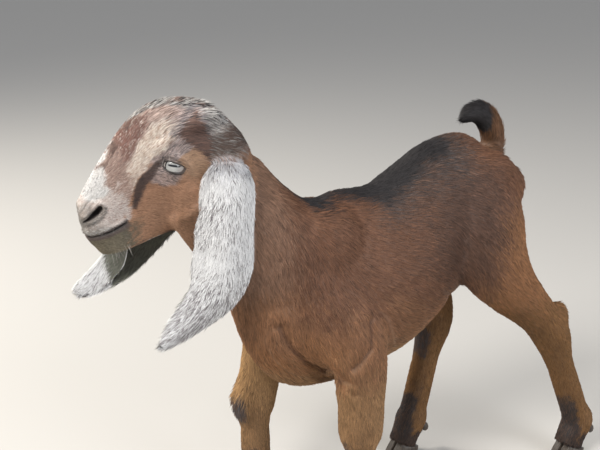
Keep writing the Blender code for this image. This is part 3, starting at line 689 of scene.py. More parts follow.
RUSSET = shade(282, 140, 72)
TAN = shade(340, 194, 94)
# Russet darkened as painted shade, for the upper body and the folds.
SHADED = shade(172, 80, 45)
HOCK_BROWN = shade(218, 110, 42)
NECK_BROWN = shade(265, 150, 97)
UMBER = shade(120, 70, 50)
BLACK = shade(22, 20, 21)
ASH = shade(60, 50, 48)
CREAM = shade(820, 710, 620)
TAWNY = shade(420, 270, 200)
RED_BAND = shade(208, 106, 86)
WHITE = shade(860, 860, 870)
SILVER = shade(620, 620, 650)
# Pale frosted hair; along the ridge of the nose it is a painted highlight.
FROST_AND_HIGHLIGHT = shade(800, 780, 760)
MAUVE = shade(500, 400, 370)
TEMPLE = shade(165, 98, 78)
CHEEK = shade(490, 280, 175)
GOLD = shade(450, 295, 195)
GRIZZLED = shade(185, 125, 102)
ROSY = shade(680, 610, 570)
BUFF = shade(480, 360, 220)
PINK = shade(480, 300, 220)
BARE = shade(330, 300, 270)
LIP = shade(170, 130, 120)
CHIN = shade(110, 102, 76)
OLIVE = shade(170, 172, 140)
PALE = shade(660, 630, 600)
SOOT = shade(45, 40, 42)
MOIST = shade(30, 24, 23)

# On the side of the face, seen square on: the upper and lower edge of the pale band, and the dark
# line from the eye, with its half widths.
BAND_TOP = ((30, 62), (46, 71), (62, 76), (79, 72), (96, 62), (111, 51), (121, 44), (135, 34))
BAND_FOOT = ((40, 52), (60, 50), (71, 47), (90, 43), (99, 37.5), (111, 30), (120, 24), (129, 15.5), (136, 8))
TEAR = (
    (80, 36.5, 1.2), (88.5, 36, 2.2), (96, 32.5, 3.2), (106, 28, 4), (116, 21, 3.8), (124, 12.5, 3),
    (129.5, 5.5, 1.2),
)
# How far forward the grizzled crown reaches, by the distance from the middle of the head.
CROWN_EDGE = ((0, 99), (4, 92), (8, 72), (12, 57), (15, 44), (18, 36), (29, 28), (33, 25), (36, 23), (43, 20))
TEMPLE_CORNERS = ((27, 69), (55, 55), (34.5, 16), (23, 40))
# How far back the pale muzzle reaches, by height.
MUZZLE_EDGE = (
    (-45, 168), (-30, 158), (-12, 148), (-6, 143), (7, 136), (21, 134), (30, 138), (38, 142), (48, 146),
    (56, 149),
)
# How far the black of the back reaches down, along the body.
SADDLE = ((-40, 5), (0, 9), (30, 3), (70, 4), (110, 14), (150, 15), (190, 9), (230, -4))
# The dark patch on a leg: its place along x and z, and how far it reaches.
KNEE_PATCHES = {
    "foreleg_left": (20, 105, 14, 30),
    "foreleg_right": (-63, 146, 14, 30),
    "hindleg_right": (238, 182, 12, 30),
}


class Look:
    """The coat at many places: two colours of hair, the share of the second, and how they vary."""

    def __init__(self, count, main, rng=None):
        self.main = self.strand = np.zeros((count, 3))
        self.share = self.root = self.spread = np.zeros(count)
        self.rng = None
        self.lay(np.ones(count), main)
        self.rng = rng

    def lay(self, where, main, strand=None, share=0.15, spread=0.1, root=0.72):
        """Lays another look over what is there; single hairs take it or leave it at its edge."""
        where = np.clip(where, 0, 1)
        if self.rng is not None:
            where = np.clip(where * 2.2 - 1.2 * self.rng.random(len(where)), 0, 1)
        self.main = mix(self.main, main, where)
        self.strand = mix(self.strand, main * 0.55 if strand is None else strand, where)
        self.share = self.share * (1 - where) + share * where
        self.root = self.root * (1 - where) + root * where
        self.spread = self.spread * (1 - where) + spread * where


def inside_corners(a, b, corners):
    """How far inside a shape with straight sides, whose corners run clockwise, a place lies."""
    depth = np.full(len(a), 1000.0)
    for (a0, b0), (a1, b1) in zip(corners, corners[1:] + corners[:1]):
        long = math.hypot(a1 - a0, b1 - b0)
        depth = np.minimum(depth, ((b1 - b0) * (a - a0) - (a1 - a0) * (b - b0)) / long)
    return depth


def body_look(p, name, rng):
    """Russet with painted shade on shoulder, thigh and folds, the thigh partly its own darker coat, paler
    below, with a black back.
    """
    x, y, z = p[:, 0], abs(p[:, 1]), p[:, 2]
    drift, fine = ripple(p, 50, 11), ripple(p, 14, 12)
    look = Look(len(p), RUSSET, rng)
    lay = look.lay
    lay(step(20, -60, x) * step(300, 370, z), NECK_BROWN)
    # Painted shade over the upper body, from the shoulder back.
    lay(0.85 * step(245, 345, z + 8 * drift) * step(-80, -10, x), SHADED)
    lay(0.8 * step(310, 240, z + 10 * drift) * step(50, -20, x), RUSSET * (1.1, 1.05, 0.92))
    lay(step(285, 160, z + 10 * drift), TAN)
    lay(0.6 * step(270, 220, z) * step(50, 120, x) * step(240, 180, x), TAN * 0.85)
    # The thigh is darker: partly its own coat, partly painted shade in the hollow of the flank.
    thigh = step(125, 15, np.hypot(x - 215, (z - 375) * 0.8) + 4 * drift)
    lay(0.9 * thigh, UMBER * (0.86, 0.76, 0.7), spread=0.15)
    behind = step(225, 310, x + 0.25 * (400 - z) + 4 * drift)
    lay(0.8 * behind * step(450, 360, z) * step(180, 250, z), RUSSET * (1.06, 1, 0.86))
    # Painted shade along the folds of skin.
    for line, depth in CREASES:
        fold = step(6.5, 1, near_line(x, z, line))
        lay(0.5 * fold * (y > 22) * (depth > 2.5), SHADED * 0.7)
    lay(0.9 * step(278, 290, x) * step(435, 450, z) * step(30, 20, y), RUSSET * 0.55)
    below = np.interp(x, *BACK) - z + 2.5 * drift
    haze = step(85, 8, below) * step(60, 120, x) * step(275, 200, x)
    lay(0.85 * haze, ASH * 1.1, UMBER, 0.4, 0.2)
    wide = curve(x, SADDLE)
    stripe = step(wide + 19, wide - 5, below + 2 * fine) * step(-58, -34, x) * step(240, 185, x)
    lay(0.96 * stripe, BLACK * 1.3, BLACK, 0.3, root=0.9)
    groin = np.linalg.norm((p - (215, 0, 262)) * (0.9, 0.8, 1.3), axis=1)
    lay(0.75 * step(50, 20, groin), PINK)
    throat = np.linalg.norm((p - (-142, -20, 415)) * (1, 0.6, 1), axis=1)
    lay(0.85 * step(50, 22, throat), BUFF)
    if name.startswith("hind"):
        lay(0.85 * step(320, 210, z), HOCK_BROWN)
    # Painted sunlight on the upper part of the far foreleg; below the knee it is darker.
    if name == "foreleg_right":
        lay(0.85 * step(310, 225, z + 10 * drift), TAN * (1.22, 1.26, 1.2))
        lay(0.8 * step(200, 120, z), TAN * 0.9)
    if "leg" in name:
        leg_look(p, name, lay)
    look.spread = look.spread * 1.7
    return look


def leg_middle(p, name):
    """How far along the body a leg's middle line is, at the height of each place."""
    line = np.array(LIE_LINES[name])
    return np.interp(-p[:, 2], -line[:, 2], line[:, 0])


def leg_look(p, name, lay):
    """Dark knees and hocks, dark fronts to the shins and dark pasterns."""
    x, z = p[:, 0], p[:, 2]
    if name in KNEE_PATCHES:
        x0, z0, wide, high = KNEE_PATCHES[name]
        patch = np.hypot((x - x0) / wide, (z - z0) / high) + 0.15 * ripple(p, 12, 24)
        lay(0.85 * step(1.35, 0.5, patch), BLACK * 3.4, UMBER, 0.35)
    front = step(3, 15, leg_middle(p, name) - x + 3 * ripple(p, 12, 21))
    top = 105 if name.startswith("fore") else 120
    lay(0.9 * front * step(top, top - 35, z + 6 * ripple(p, 20, 22)), BLACK * 1.8, UMBER, 0.3)
    lay(0.9 * step(46, 34, z + 4 * ripple(p, 15, 23)), UMBER * 0.6, BLACK, 0.4)


def head_look(p, rng):
    """The side and front of the face first, then crown and temple, the muzzle, and round the eyes."""
    q = in_head(p)
    u, v, w = q[:, 0], abs(q[:, 1]), q[:, 2]
    drift, fine = ripple(p, 30, 31), ripple(p, 8, 32)
    edge = 1.1 * fine + 1.2 * drift
    look = Look(len(p), CHEEK, rng)
    lay = look.lay
    lay(step(30, 2, u + 4 * edge), NECK_BROWN)
    # Painted shade on the lower jaw.
    lay(0.85 * step(-12, -34, w) * step(120, 85, u), CHEEK * (0.62, 0.6, 0.57))
    lay(0.9 * step(48, 30, u + 2 * edge) * step(-10, 10, w), GRIZZLED, PALE * 0.5, 0.22, 0.22)
    gold = step(74, 56, u + edge) * step(30, 46, u) * step(56, 40, w) * step(-14, 18, w)
    lay(0.8 * gold, GOLD)
    # Painted shade low on the back of the cheek.
    lay(step(60, 35, u + edge) * step(20, -10, w) * 0.6, CHEEK * (0.8, 0.78, 0.75))
    ahead, below = u - 88, w - 23.5
    under = np.hypot(ahead * 0.82 + below * 0.57, (below * 0.82 - ahead * 0.57) * 1.9) / 22 + 0.08 * fine
    lay(0.9 * step(1.2, 0.6, under), MAUVE * (1, 0.96, 0.94), SOOT * 2.5, 0.22, 0.2)
    top, foot = curve(u, BAND_TOP), curve(u, BAND_FOOT)
    above = w - foot + edge
    socket = step(-2, 3, w - 26.5 - 0.25 * (85 - u) + edge) * step(34, 50, u) * step(96, 88, u)
    lay(socket, MAUVE, SOOT * 3, 0.3, 0.22)
    lay(step(-1, 4, above) * step(26, 46, u), MAUVE, SOOT * 3, 0.3, 0.22)
    band = step(-3, 4, above) * step(5, -5, w - top + edge) * step(36, 74, u)
    lay(band, CREAM * 1.04, TAWNY, 0.26, 0.2, root=0.7)
    over = step(-6, 7, w - top + edge) * step(30, 60, u)
    lay(over, MAUVE * (0.95, 0.9, 0.85), UMBER, 0.25, 0.25)
    lay(over * step(66, 84, u + 2 * edge), RED_BAND, CREAM * 0.8, 0.14, 0.28)
    dusky = step(106, 128, u + 2 * edge) * step(-4, 4, above)
    lay(0.85 * dusky, ROSY * (0.68, 0.57, 0.52), RED_BAND, 0.28, 0.26)
    # A painted highlight: a pale line along the ridge of the nose.
    lay(0.85 * step(7, 3, v + edge) * step(112, 126, u), FROST_AND_HIGHLIGHT, RED_BAND, 0.15, 0.2)
    crown_look(u, v, w, edge, lay)
    muzzle_look(q, edge, lay)
    outer = np.where(w - foot > -4, 1.8, 4.2)
    tear = step(outer, -1.2, near_line(u, w, TEAR) + 0.5 * edge)
    lay(0.92 * tear * (v > 15), TEMPLE * (0.62, 0.66, 0.7), SOOT, 0.3)
    for side in (-1, 1):
        s, out, t = near_eye(p, side)
        form = eye_form(s, t)
        near = (out > 0) & (np.hypot(s, t) < 30)
        shadow = 0.85 * near * step(2.1, 1.5, form + 0.08 * fine) * step(-12, -2, s)
        lay(shadow, MAUVE * 0.55, SOOT, 0.3)
        rim = np.where(t > 0, 1.08, 1.32)
        lay(0.9 * near * step(rim + 0.22, rim - 0.08, form + 0.04 * fine), MOIST * 1.9, MOIST, 0.2)
    return look


def crown_look(u, v, w, edge, lay):
    """The grizzled crown and nape, and the dark temple with its edge."""
    crown = step(5, -3, u - curve(v, CROWN_EDGE) + 1.5 * edge) * step(-14, 2, u) * step(16, 36, w + edge)
    crown = crown * step(0, 20, w + edge - 20 - 6 * step(30, 10, u))
    lay(crown, PALE * 0.86, SOOT, 0.44 - 0.11 * step(50, 20, u), 0.28, root=0.26)
    middle = crown * step(8, 0, v) * step(60, 40, u)
    lay(0.7 * middle, PALE * 0.45, SOOT, 0.6, 0.3, root=0.3)
    lay(0.4 * crown * step(64, 50, w) * step(12, 24, v), GRIZZLED, PALE * 0.7, 0.35, 0.3)
    nape = step(36, 24, u + edge) * step(44, 32, w) * step(6, 16, w)
    lay(0.85 * nape, GRIZZLED * 0.42, PALE * 0.3, 0.2, 0.25)
    beside = v > 12
    inner = inside_corners(u, w, TEMPLE_CORNERS) * beside
    dusky = 0.6 * step(-14, -2, inner) * step(46, 57, w) * beside
    lay(dusky, MAUVE * (0.5, 0.55, 0.62), SOOT * 3, 0.3, 0.2)
    border = 0.85 * step(-3.6, -0.8, inner) * step(30, 45, w) * beside
    lay(border, SOOT * 2.2, MAUVE, 0.3, 0.25)
    lay(step(-1.2, 1.6, inner + 0.4 * edge), TEMPLE, SOOT, 0.18)
    lay(0.7 * step(-1.2, 4, inner) * step(45, 20, w), TEMPLE * 0.7, SOOT, 0.3)


def muzzle_look(q, edge, lay):
    """The pale muzzle, the dusky chin, and bare skin at nostrils and lips."""
    u, v, w = q[:, 0], abs(q[:, 1]), q[:, 2]
    ahead = u - curve(w, MUZZLE_EDGE)
    muzzle = step(-10, 9, ahead + 3 * edge)
    lay(muzzle, ROSY, RED_BAND * 1.4, 0.16, 0.16)
    frost = step(158, 170, u + 0.6 * w + edge) * step(22, 32, w + edge) * step(180, 168, u)
    lay(muzzle * frost, FROST_AND_HIGHLIGHT, SOOT * 4, 0.16, 0.14)
    lay(0.8 * muzzle * step(164, 176, u) * step(36, 27, w), ROSY * (0.68, 0.64, 0.6), FROST_AND_HIGHLIGHT, 0.2)
    turn, off = mouth_place(q)
    lay(muzzle * step(12, 4, off) * step(150, 172, u), BARE * 0.95, FROST_AND_HIGHLIGHT, 0.22, 0.18)
    # The chin is dark, partly its own colour and partly painted shade on its underside; its front is lighter.
    chin = step(-30, 12, ahead + 4 * edge) * step(1, -3, off)
    lay(chin, CHIN * 1.1, CHIN * 2.2, 0.16, 0.14)
    lay(0.8 * chin * step(142, 162, u + 2 * edge), CHIN * (2.3, 2.1, 2), CHIN, 0.2, 0.18)
    gap = near_line(u, w, NOSTRIL_LINE)
    lay(pad_of_nose(u, v, w), BARE, BARE * 0.7, 0.3)
    # Painted shade in a ring round each nostril; inside it, dark moist skin with painted shade.
    wing = step(5.8, 1.5, gap + 0.28 * (w - 16)) * (v > 5) * (u > 148)
    lay(0.7 * wing, BARE * 0.56, BARE * 0.4, 0.3)
    lay(step(1, -0.4, gap) * (v > 5) * (u > 140), MOIST, MOIST, 0)
    lip = step(106, 96, turn) * (u > 120)
    lay(lip * step(-6.5, -4, off) * step(1, -0.5, off) * 0.8, LIP, LIP, 0)
    # Towards the groove of the mouth the lips darken: their own bare skin, and painted shade in the groove.
    lip = lip * (0.55 + 0.45 * step(25, 65, turn))
    lay(0.8 * lip * step(4.4, 2.2, abs(off - 0.6)), LIP * 0.55, LIP * 0.4, 0.1)
    lay(lip * step(2.4, 1.2, abs(off + 0.3)), MOIST * 1.1, MOIST, 0)


def pad_of_nose(u, v, w):
    """The bare skin between the nostrils."""
    return step(14, 10, np.hypot(u - 187, (w - 12) * 0.75)) * step(17, 11, v)


def ear_look(p, n, name, rng):
    """White ears, flecked with grey; the far ear shows its dark inside."""
    ahead, _, up = in_level(p).T
    inside = step(0.15, -0.15, dot(n, LEFT * side_of(name)))
    flecks = 0.05 + 0.2 * step(-20, -50, up) * step(-105, -75, up) * step(-5, 35, ahead)
    flecks = flecks + 0.08 * step(0, 1.2, ripple(p, 35, 41)) + 0.36 * step(-115, -160, up)
    if name == "ear_right":
        inside = inside * step(150, 140, ahead - 0.25 * (up + 140))
        # Fewer flecks on the far ear: painted sunlight, so it shows whiter.
        flecks = flecks * 0.45
    look = Look(len(p), WHITE, rng)
    lay = look.lay
    lay(np.ones(len(p)), WHITE, SOOT * 4.5, flecks, root=0.8)
    lay(0.8 * step(-30, -2, up), SILVER, SOOT * 4, 0.22, root=0.6)
    lay(0.7 * step(-9, 7, up), GRIZZLED * 1.7, SOOT * 3, 0.35)
    lay(inside, OLIVE, OLIVE * 0.5, 0.3)
    return look


def tail_look(p, rng):
    ahead = p[:, 0] + 2 * ripple(p, 10, 51)
    look = Look(len(p), RUSSET * 0.62, rng)
    lay = look.lay
    lay(0.6 * step(303, 290, ahead), RUSSET * 0.35)
    lay(step(297, 285, ahead) * step(474, 488, p[:, 2]), BLACK, BLACK * 1.8, 0.3, root=0.9)
    return look


def look_at(p, n, name, rng=None):
    if name == "head":
        look = head_look(p, rng)
    elif name in EARS:
        look = ear_look(p, n, name, rng)
    elif name == "tail":
        look = tail_look(p, rng)
    else:
        look = body_look(p, name, rng)
    wave = 1 + 0.05 * ripple(p, 25, 61) + 0.04 * ripple(p, 7, 62)
    look.main = look.main * wave[:, None]
    return look


# Coat

# For each kind of node: how long its hair is, its width, how far its tips stand up, how densely it lies.
COAT = {
    "head": (8.5, 0.58, 0.14, 3.2),
    "neck": (11, 0.85, 0.11, 3),
    "torso": (11.5, 0.85, 0.11, 3),
    "tail": (11.5, 0.9, 0.16, 3.6),
    "leg": (9.5, 0.78, 0.12, 3),
    "ear": (9.2, 0.62, 0.11, 3.2),
}


def coat_sizes(p, q, name):
    """Length, width, lift and cover of the hair at each place of a node."""
    key = "leg" if "leg" in name else "ear" if name in EARS else name
    length, width, lift, cover = (a * np.ones(len(p)) for a in COAT[key])
    z = p[:, 2]
    if key == "leg":
        length = length - 2.8 * step(240, 160, z) - 1.5 * step(60, 35, z)
        width = width - 0.1 * step(240, 160, z)
    if name == "foreleg_right":
        shaggy = bell(z, 170, 35) * step(-35, -55, p[:, 0])
        length = length + 6 * shaggy
        lift = lift + 0.28 * shaggy
    if key == "ear":
        cover = cover * step(38, 43, abs(in_level(p)[:, 1]))
    if key != "head":
        return length, width, lift, cover
    u, v, w = q[:, 0], abs(q[:, 1]), q[:, 2]
    face = step(30, 75, u)
    crown = step(40, 60, w) * step(100, 50, u)
    length = length - 3.4 * face - 2 * step(115, 160, u) + 4 * crown
    width = width - 0.12 * face - 0.07 * crown
    lift = lift + 0.1 * crown
    turn, above = mouth_place(q)
    lips = np.maximum(step(1.2, 2.4, abs(above)), step(98, 106, turn))
    nostrils = step(0.4, 2, near_line(u, w, NOSTRIL_LINE))
    cover = cover * np.where(u > 120, lips, 1) * np.where((u > 140) & (v > 5), nostrils, 1)
    cover = cover * (1 - pad_of_nose(u, v, w))
    for side in (-1, 1):
        s, out, t = near_eye(p, side)
        form = eye_form(s, t)
        near = (out > 0) & (np.hypot(s, t) < 26)
        cover = np.where(near, cover * step(1.16, 1.4, form), cover)
        length = np.where(near, length * (0.55 + 0.45 * step(1.4, 3.5, form)), length)
    return length, width, lift, cover


def about(a, b):
    """How far round a place is, from 0 to 1."""
    return np.arctan2(a, b) / WHOLE_TURN + 0.5


def unwrapped(p, n, name):
    """A place on an unwrap of the skin's own shape, for each root of a node's coat."""
    if name == "head":
        q = in_head(p)
        return about(q[:, 1], q[:, 2] - 15), (q[:, 0] + 50) / 260
    if name in EARS:
        ahead, _, up = in_level(p).T
        across = np.clip((ahead + 40) / 260, 0, 1) * 0.48
        return across + 0.5 * (dot(n, LEFT * side_of(name)) > 0), (up + 230) / 270
    x, y, z = p.T
    if name == "tail":
        return about(y, x - 285), (z - 420) / 130
    if "leg" in name:
        return about(y - LIE_LINES[name][0][1], x - leg_middle(p, name)), z / 470
    return about(y, z - 330), (x + 210) / 550


# A tuft's places: how far to its side, along it and up in shares of its size, up in half widths, how much
# of its tip's colour, and how far along its patch on the unwrap. Then its faces. A sliver has four faces
# in all, and a blade is fuller, with a bend.
SLIVER = np.array((
    (-1, 0, 0, 0, 0, 0), (1, 0, 0, 0, 0, 0), (0, 0.38, 0.55, 0.8, 0.45, 0.4), (0, 1, 1, 0, 1, 1),
))
SLIVER_FACES = np.array(((0, 2, 1), (0, 3, 2), (2, 3, 1), (0, 1, 3)))
BLADE = np.array((
    (-1, 0, 0, 0, 0, 0), (1, 0, 0, 0, 0, 0),
    (-0.8, 0.45, 0.62, 0, 0.5, 0.45), (0.8, 0.45, 0.62, 0, 0.5, 0.45), (0, 0.45, 0.62, 0.9, 0.55, 0.5),
    (0, 1, 1, 0, 1, 1),
))
BLADE_FACES = np.array((
    (0, 4, 1), (0, 2, 4), (1, 4, 3), (2, 5, 4), (4, 5, 3), (0, 1, 3), (0, 3, 2), (2, 3, 5),
))
# The size of a tuft's patch on the unwrap, the most triangles in a piece, and how deep roots sit.
PATCH = 0.003
COAT_PIECE = 190000
ROOT_DEPTH = 0.4


def tufts(name, shape, faces, p, n, way, length, width, rise, colour, tip_colour, uv):
    """One piece of coat: a closed thin tuft from each root, lying along its way."""
    p, n, way = p[:, None], n[:, None], way[:, None]
    half, length, rise = width[:, None, None] / 2, length[:, None, None], rise[:, None, None]
    side = np.cross(n, way)
    across, along, up, thick, tint, spot = shape.T[..., None]
    height = length * rise * up + half * thick - ROOT_DEPTH * (along == 0)
    points = p + side * half * across + way * length * along + n * height
    index = (np.arange(len(p))[:, None, None] * len(shape) + faces).reshape(-1, 3)
    mesh = mesh_from(name, points.reshape(-1, 3), index)
    rounded = unit(n + side * np.sign(across) * 0.45)
    mesh.normals_split_custom_set_from_vertices(rounded.reshape(-1, 3).tolist())
    set_colours(mesh, mix(colour[:, None], tip_colour[:, None], tint[:, 0]).reshape(-1, 3))
    spots = uv[:, None] + np.hstack((across / 2, spot)) * PATCH
    layer = mesh.uv_layers.new(name="OFBake")
    layer.data.foreach_set("uv", spots.reshape(-1, 2)[index.ravel()].astype(np.float32).ravel())
    obj = new_object(name, mesh)
    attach(obj, "root")
    return obj


def back_line(p, owner):
    """The height of the back along the body, read from the skin."""
    trunk = (owner == FLESH.index("neck")) | (owner == FLESH.index("torso"))
    spine = p[(abs(p[:, 1]) < 12) & (p[:, 2] > 360) & trunk]
    xs = np.arange(-50, 310, 10)
    return xs, [spine[abs(spine[:, 0] - x) < 9][:, 2].max() for x in xs]


def make_coat(skin, owner, material):
    """Hair node by node: roots spread over the skin by its area, then each tuft's size, way and colour."""
    mesh = skin.data
    corners = triangles(mesh)
    p, n = places(mesh), normals(mesh)
    q = in_head(p)
    way = lie_of_coat(p, n, edges_of(mesh), owner)
    a, b, c = p[corners.T]
    area = np.linalg.norm(np.cross(b - a, c - a), axis=1) / 2
    skin_colour = np.zeros_like(p)
    rng = np.random.default_rng(5)
    for k, name in enumerate(FLESH + EARS):
        shape, faces = (BLADE, BLADE_FACES) if name in EARS + ("tail",) else (SLIVER, SLIVER_FACES)
        here = owner == k
        sizes = np.zeros((len(p), 4))
        sizes[here] = np.stack(coat_sizes(p[here], q[here], name), axis=1)
        inside = here[corners].all(axis=1)
        tri = corners[inside]
        length, width, lift, cover = sizes[tri].mean(axis=1).T
        sums = np.cumsum(area[inside] * cover / (length * width))
        count = int(sums[-1])
        at = tri[np.searchsorted(sums, (np.arange(count) + rng.random(count)) * sums[-1] / count)]
        a, b = rng.random((2, count))
        a, b = np.where(a + b > 1, 1 - a, a), np.where(a + b > 1, 1 - b, b)
        shares = np.stack((1 - a - b, a, b), axis=1)[..., None]
        root, up, lie = ((values[at] * shares).sum(axis=1) for values in (p, n, way))
        length, width, lift, cover = (sizes[at] * shares).sum(axis=1).T
        up = unit(up)
        lie = unit(lie - up * dot(lie, up)[:, None])
        lie = turned(lie, up, rng.normal(0, 0.2 if name in EARS else 0.11, count))
        length = length * rng.uniform(0.75, 1.2, count)
        width = width * rng.uniform(0.75, 1.2, count)
        lift = lift * rng.uniform(0.4, 1.5, count)
        look = look_at(root, up, name, rng)
        colour = np.where((rng.random(count) < look.share)[:, None], look.strand, look.main)
        colour = colour * np.exp(rng.normal(0, 1, count) * look.spread)[:, None]
        tip_colour = np.clip(colour * 1.1, 0.003, 0.92)
        colour = np.clip(colour * look.root[:, None], 0.003, 0.92)
        spot = np.stack(unwrapped(root, up, name), axis=1) * 0.96 + 0.01
        order = np.argsort(root[:, 0 if name in ("torso", "head") else 2])
        pieces = math.ceil(count * len(faces) / COAT_PIECE)
        for i, chosen in enumerate(np.array_split(order, pieces)):
            values = (a[chosen] for a in (root, up, lie, length, width, lift, colour, tip_colour, spot))
            obj = tufts(f"coat_{name}_{i + 1}", shape, faces, *values)
            obj.data.materials.append(material)
        look = look_at(p[here], n[here], name)
        skin_colour[here] = mix(look.main, look.strand, look.share) * (0.5 + 0.35 * look.root)[:, None]
    set_colours(mesh, np.clip(skin_colour, 0.003, 0.9))


# Eyes

EYE_WHITE = shade(345, 345, 335)
STREAK = shade(250, 250, 245)
IRIS_FRONT = shade(340, 290, 270)
OUTER_WHITE = shade(340, 310, 290)
IRIS_RING = shade(12, 12, 14)
PUPIL_EDGE = shade(100, 100, 110)
PUPIL = shade(6, 7, 10)


def spokes(count):
    return np.arange(count) * WHOLE_TURN / count


def net(rows, columns, closed=False):
    """Quads over a grid of places that closes on itself across, and along as well where asked."""
    index = np.arange(rows * columns).reshape(rows, columns)
    right = np.roll(index, -1, axis=1)
    faces = np.stack((index, right, np.roll(right, -1, axis=0), np.roll(index, -1, axis=0)), axis=-1)
    return (faces if closed else faces[:-1]).reshape(-1, 4)


def eyeball(name, side):
    """An eye whose front bulges a little; its colours are rings and a slit in its own directions."""
    rings, around = 84, 120
    turn = np.linspace(0, math.pi * 0.62, rings)[:, None]
    spoke = spokes(around)[None]
    radius = EYE_RADIUS + 0.7 * step(0.75, 0.35, turn)
    s = radius * np.sin(turn) * np.cos(spoke)
    t = radius * np.sin(turn) * np.sin(spoke)
    out = radius * np.cos(turn) * np.ones_like(spoke)
    local = np.stack((s, out, t), axis=-1).reshape(-1, 3)
    faces = net(rings, around)[:, ::-side]
    mesh = mesh_from(name, local @ eye_axes(side) + eye_centre(side), faces)
    s, t = local[:, 0], local[:, 2]
    iris = np.hypot(s + 1.2, t)
    spoke = np.arctan2(t, s + 1.2)
    streaks = 0.5 + 0.5 * np.sin(spoke * 46 + 2.5 * np.sin(spoke * 11))
    colour = mix(EYE_WHITE, STREAK, 0.45 * streaks * step(1, 4, iris))
    colour = mix(colour, IRIS_FRONT, step(4, 9, -s) * 0.6)
    colour = mix(colour, OUTER_WHITE, step(9.3, 9.9, iris))
    colour = mix(colour, IRIS_RING, np.clip(bell(iris, 9.2, 0.72) * 1.2, 0, 1) * (s > 0))
    pupil = (abs(s + 1.4) / 6.4) ** 3 + (abs(t - 1.6 + 0.02 * s) / 1.1) ** 2.5
    colour = mix(colour, PUPIL_EDGE, step(2.2, 1, pupil) * 0.6)
    set_colours(mesh, mix(colour, PUPIL, step(1.15, 0.85, pupil)))
    return new_object(name, mesh)


def lid_rim(name, side):
    """A dark moist rim round the opening, lying between the skin and the eyeball."""
    around, thick = 96, 10
    angle, bend = spokes(around)[:, None], spokes(thick)[:, None]
    s, high = LID_REACH * np.cos(angle), np.sin(angle)
    t = np.copysign(lid_height(s, high > 0) * lid_taper(s), high)
    fat = np.where(high > 0, 0.5, 0.7) * (0.55 + 0.45 * abs(high))
    place = np.hstack((s, np.sqrt((EYE_RADIUS + 0.9) ** 2 - s**2 - t**2), t))[:, None]
    aside = unit(np.hstack((np.cos(angle) * 0.4, 0 * s, high)))[:, None]
    points = place + (unit(place) * np.cos(bend) + aside * np.sin(bend)) * fat[:, None]
    points = points.reshape(-1, 3) @ eye_axes(side) + eye_centre(side)
    return new_object(name, mesh_from(name, points, net(around, thick, closed=True)[:, ::-1]))


# Lashes, whiskers and claws

# How far along a hair each of its places is, from root to tip.
ALONG = np.linspace(0, 1, 6)[:, None]


def hairs(name, lines, radius):
    """Fine round hairs that taper to their tips, from a row of places along each: a joined mesh."""
    lines = np.array(lines)[:, :, None]
    ways = unit(np.gradient(lines, axis=1))
    aside = unit(np.cross(ways, Z + 0.01))
    turn = spokes(3)[:, None]
    points = lines + turned(aside, ways, turn[:, 0]) * radius * (1 - 0.92 * ALONG)[:, None]
    quads = net(len(ALONG), 3)
    last = 3 * len(ALONG) - 3
    ends = ((0, 2, 1), (last, last + 1, last + 2))
    one = np.concatenate((quads[:, :3], quads[:, (0, 2, 3)], ends))
    faces = np.arange(len(lines))[:, None, None] * (last + 3) + one
    return new_object(name, mesh_from(name, points.reshape(-1, 3), faces.reshape(-1, 3)))


def lashes(side, rng):
    """Lashes along the upper lid, swept back and out."""
    count = 34
    lines = []
    for i in range(count):
        s = 11.2 * (1 - 2 * (i + rng.uniform(-0.3, 0.3)) / (count - 1))
        t = float(lid_height(s, True) * lid_taper(s)) + 0.6
        out = math.sqrt((EYE_RADIUS + 1.6) ** 2 - s * s - t * t)
        long = rng.uniform(4.5, 7)
        way = np.array((0.35 * s / LID_REACH - 0.15, 0.95, -0.1 + rng.uniform(-0.15, 0.15)))
        line = (s, out, t) + ALONG * way * long + ALONG**2 * (-0.1, -0.3, 0.45) * long
        lines.append(line @ eye_axes(side) + eye_centre(side))
    return lines


# Places on the head where whiskers grow, how many, and how long they are.
WHISKERS = ((168, 22, 2, 12, 16), (165, 14, -34, 12, 14), (70, 40, 44, 5, 14))


def whiskers(tree, rng):
    """Sparse fine whiskers on the lips, chin and brows."""
    lines = []
    for u, v, w, count, long in WHISKERS:
        for side in [-1] * count + [1] * count:
            q = (u + rng.uniform(-13, 10), side * (v + rng.uniform(-3, 3)), w + rng.uniform(-6, 6))
            place, up = tree.find_nearest(Vector(packed(from_head(q))))[:2]
            place, up = unpacked(place), np.array(up)
            way = unit(up * 0.75 + FORWARD * rng.uniform(-0.2, 0.4) - UP * rng.uniform(0.1, 0.5))
            size = long * rng.uniform(0.6, 1.1)
            lines.append(place - up * 0.5 + ALONG * way * size - ALONG**2 * UP * size * 0.25)
    return lines


HORN = shade(60, 46, 36)
HORN_FOOT = shade(160, 120, 85)
GROWTH_RING = 2.6


def fine_claw(name, node):
    """A claw's own surface, made finer, with growth rings round its wall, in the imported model's frame."""
    mesh = finer("look_" + name, node)
    co = np.array([node.matrix_world @ v.co for v in mesh.vertices]) / MM
    smooth = relaxed(co, edges_of(mesh), 6, steps=(0.5,))
    free = step(0.6, 3, co[:, 2])[:, None] if name.startswith("hoof") else 1
    co = co + (smooth - co) * free
    move_to(mesh, co - HOME)
    rings = np.sin(co[:, 2] * WHOLE_TURN / GROWTH_RING + 0.8 * ripple(co, 20, 71))
    co = co + normals(mesh) * (0.12 * rings * step(2, 5, co[:, 2]))[:, None]
    move_to(mesh, co - HOME)
    dull = HORN * (1 + 0.25 * ripple(co * (1, 1, 0.15), 4, 72))[:, None]
    dull = mix(dull, HORN_FOOT, 0.5 * step(10, 0, co[:, 2]))
    set_colours(mesh, np.clip(dull * (1 + 0.108 * rings)[:, None], 0.01, 0.5))
    shade_smooth(mesh)
    return new_object("look_" + name, mesh)


set_camera()
set_light()

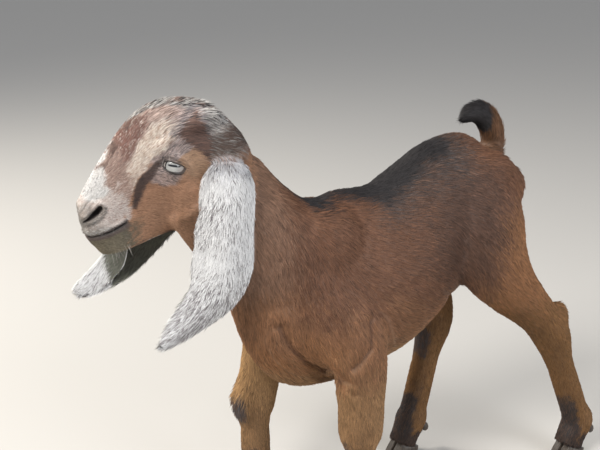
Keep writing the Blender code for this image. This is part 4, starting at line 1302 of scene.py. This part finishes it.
FLOOR_REACH = 30000
floor_corners = np.array(((-1, -1, 0), (1, -1, 0), (1, 1, 0), (-1, 1, 0))) * FLOOR_REACH - HOME
floor = new_object("floor", mesh_from("floor", floor_corners, np.array(((0, 1, 2, 3),))))
floor.data.materials.append(plain("floor", 0.9, 0.2, (0.62, 0.6, 0.57)))
floor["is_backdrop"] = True

skin, owner = make_skin()
BACK = back_line(places(skin.data), owner)
skin.data.materials.append(coloured("skin", 0.55, 0.4, 0.5, 1400))
make_coat(skin, owner, coloured("hair", 0.62, 0.3))
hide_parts(*(FLESH + EARS))
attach(skin, "root")

eye_material = coloured("eye", 0.12, 0.5)
fill(eye_material.node_tree.nodes["Principled BSDF"], {"Coat Weight": 1, "Coat Roughness": 0.03})
rim_material = plain("lid_rim", 0.35, 0.5, (0.028, 0.022, 0.02))
for name, side in (("eye_left", 1), ("eye_right", -1)):
    ball = eyeball("look_" + name, side)
    ball.data.materials.append(eye_material)
    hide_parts(name)
    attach(ball, "root")
    rim = lid_rim("lid_rim_" + name[4:], side)
    rim.data.materials.append(rim_material)
    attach(rim, "root")

rng = np.random.default_rng(9)
hair_material = plain("lash", 0.4, 0.5, (0.02, 0.016, 0.015))
pale_material = plain("whisker", 0.4, 0.5, (0.62, 0.58, 0.54))
skin_faces = [tuple(f.vertices) for f in skin.data.polygons]
skin_tree = BVHTree.FromPolygons([v.co for v in skin.data.vertices], skin_faces)
for name, lines, radius, material in (
    ("lashes_left", lashes(1, rng), 0.22, hair_material),
    ("lashes_right", lashes(-1, rng), 0.22, hair_material),
    ("whiskers", whiskers(skin_tree, rng), 0.14, pale_material),
):
    obj = hairs(name, lines, radius)
    obj.data.materials.append(material)
    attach(obj, "root")

horn_material = coloured("horn", 0.42, 0.45, 0.35, 900)
for name, node in list(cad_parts.items()):
    if name.startswith(("hoof", "dewclaw")):
        claw = fine_claw(name, node)
        claw.data.materials.append(horn_material)
        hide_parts(name)
        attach(claw, "root")

low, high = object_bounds()
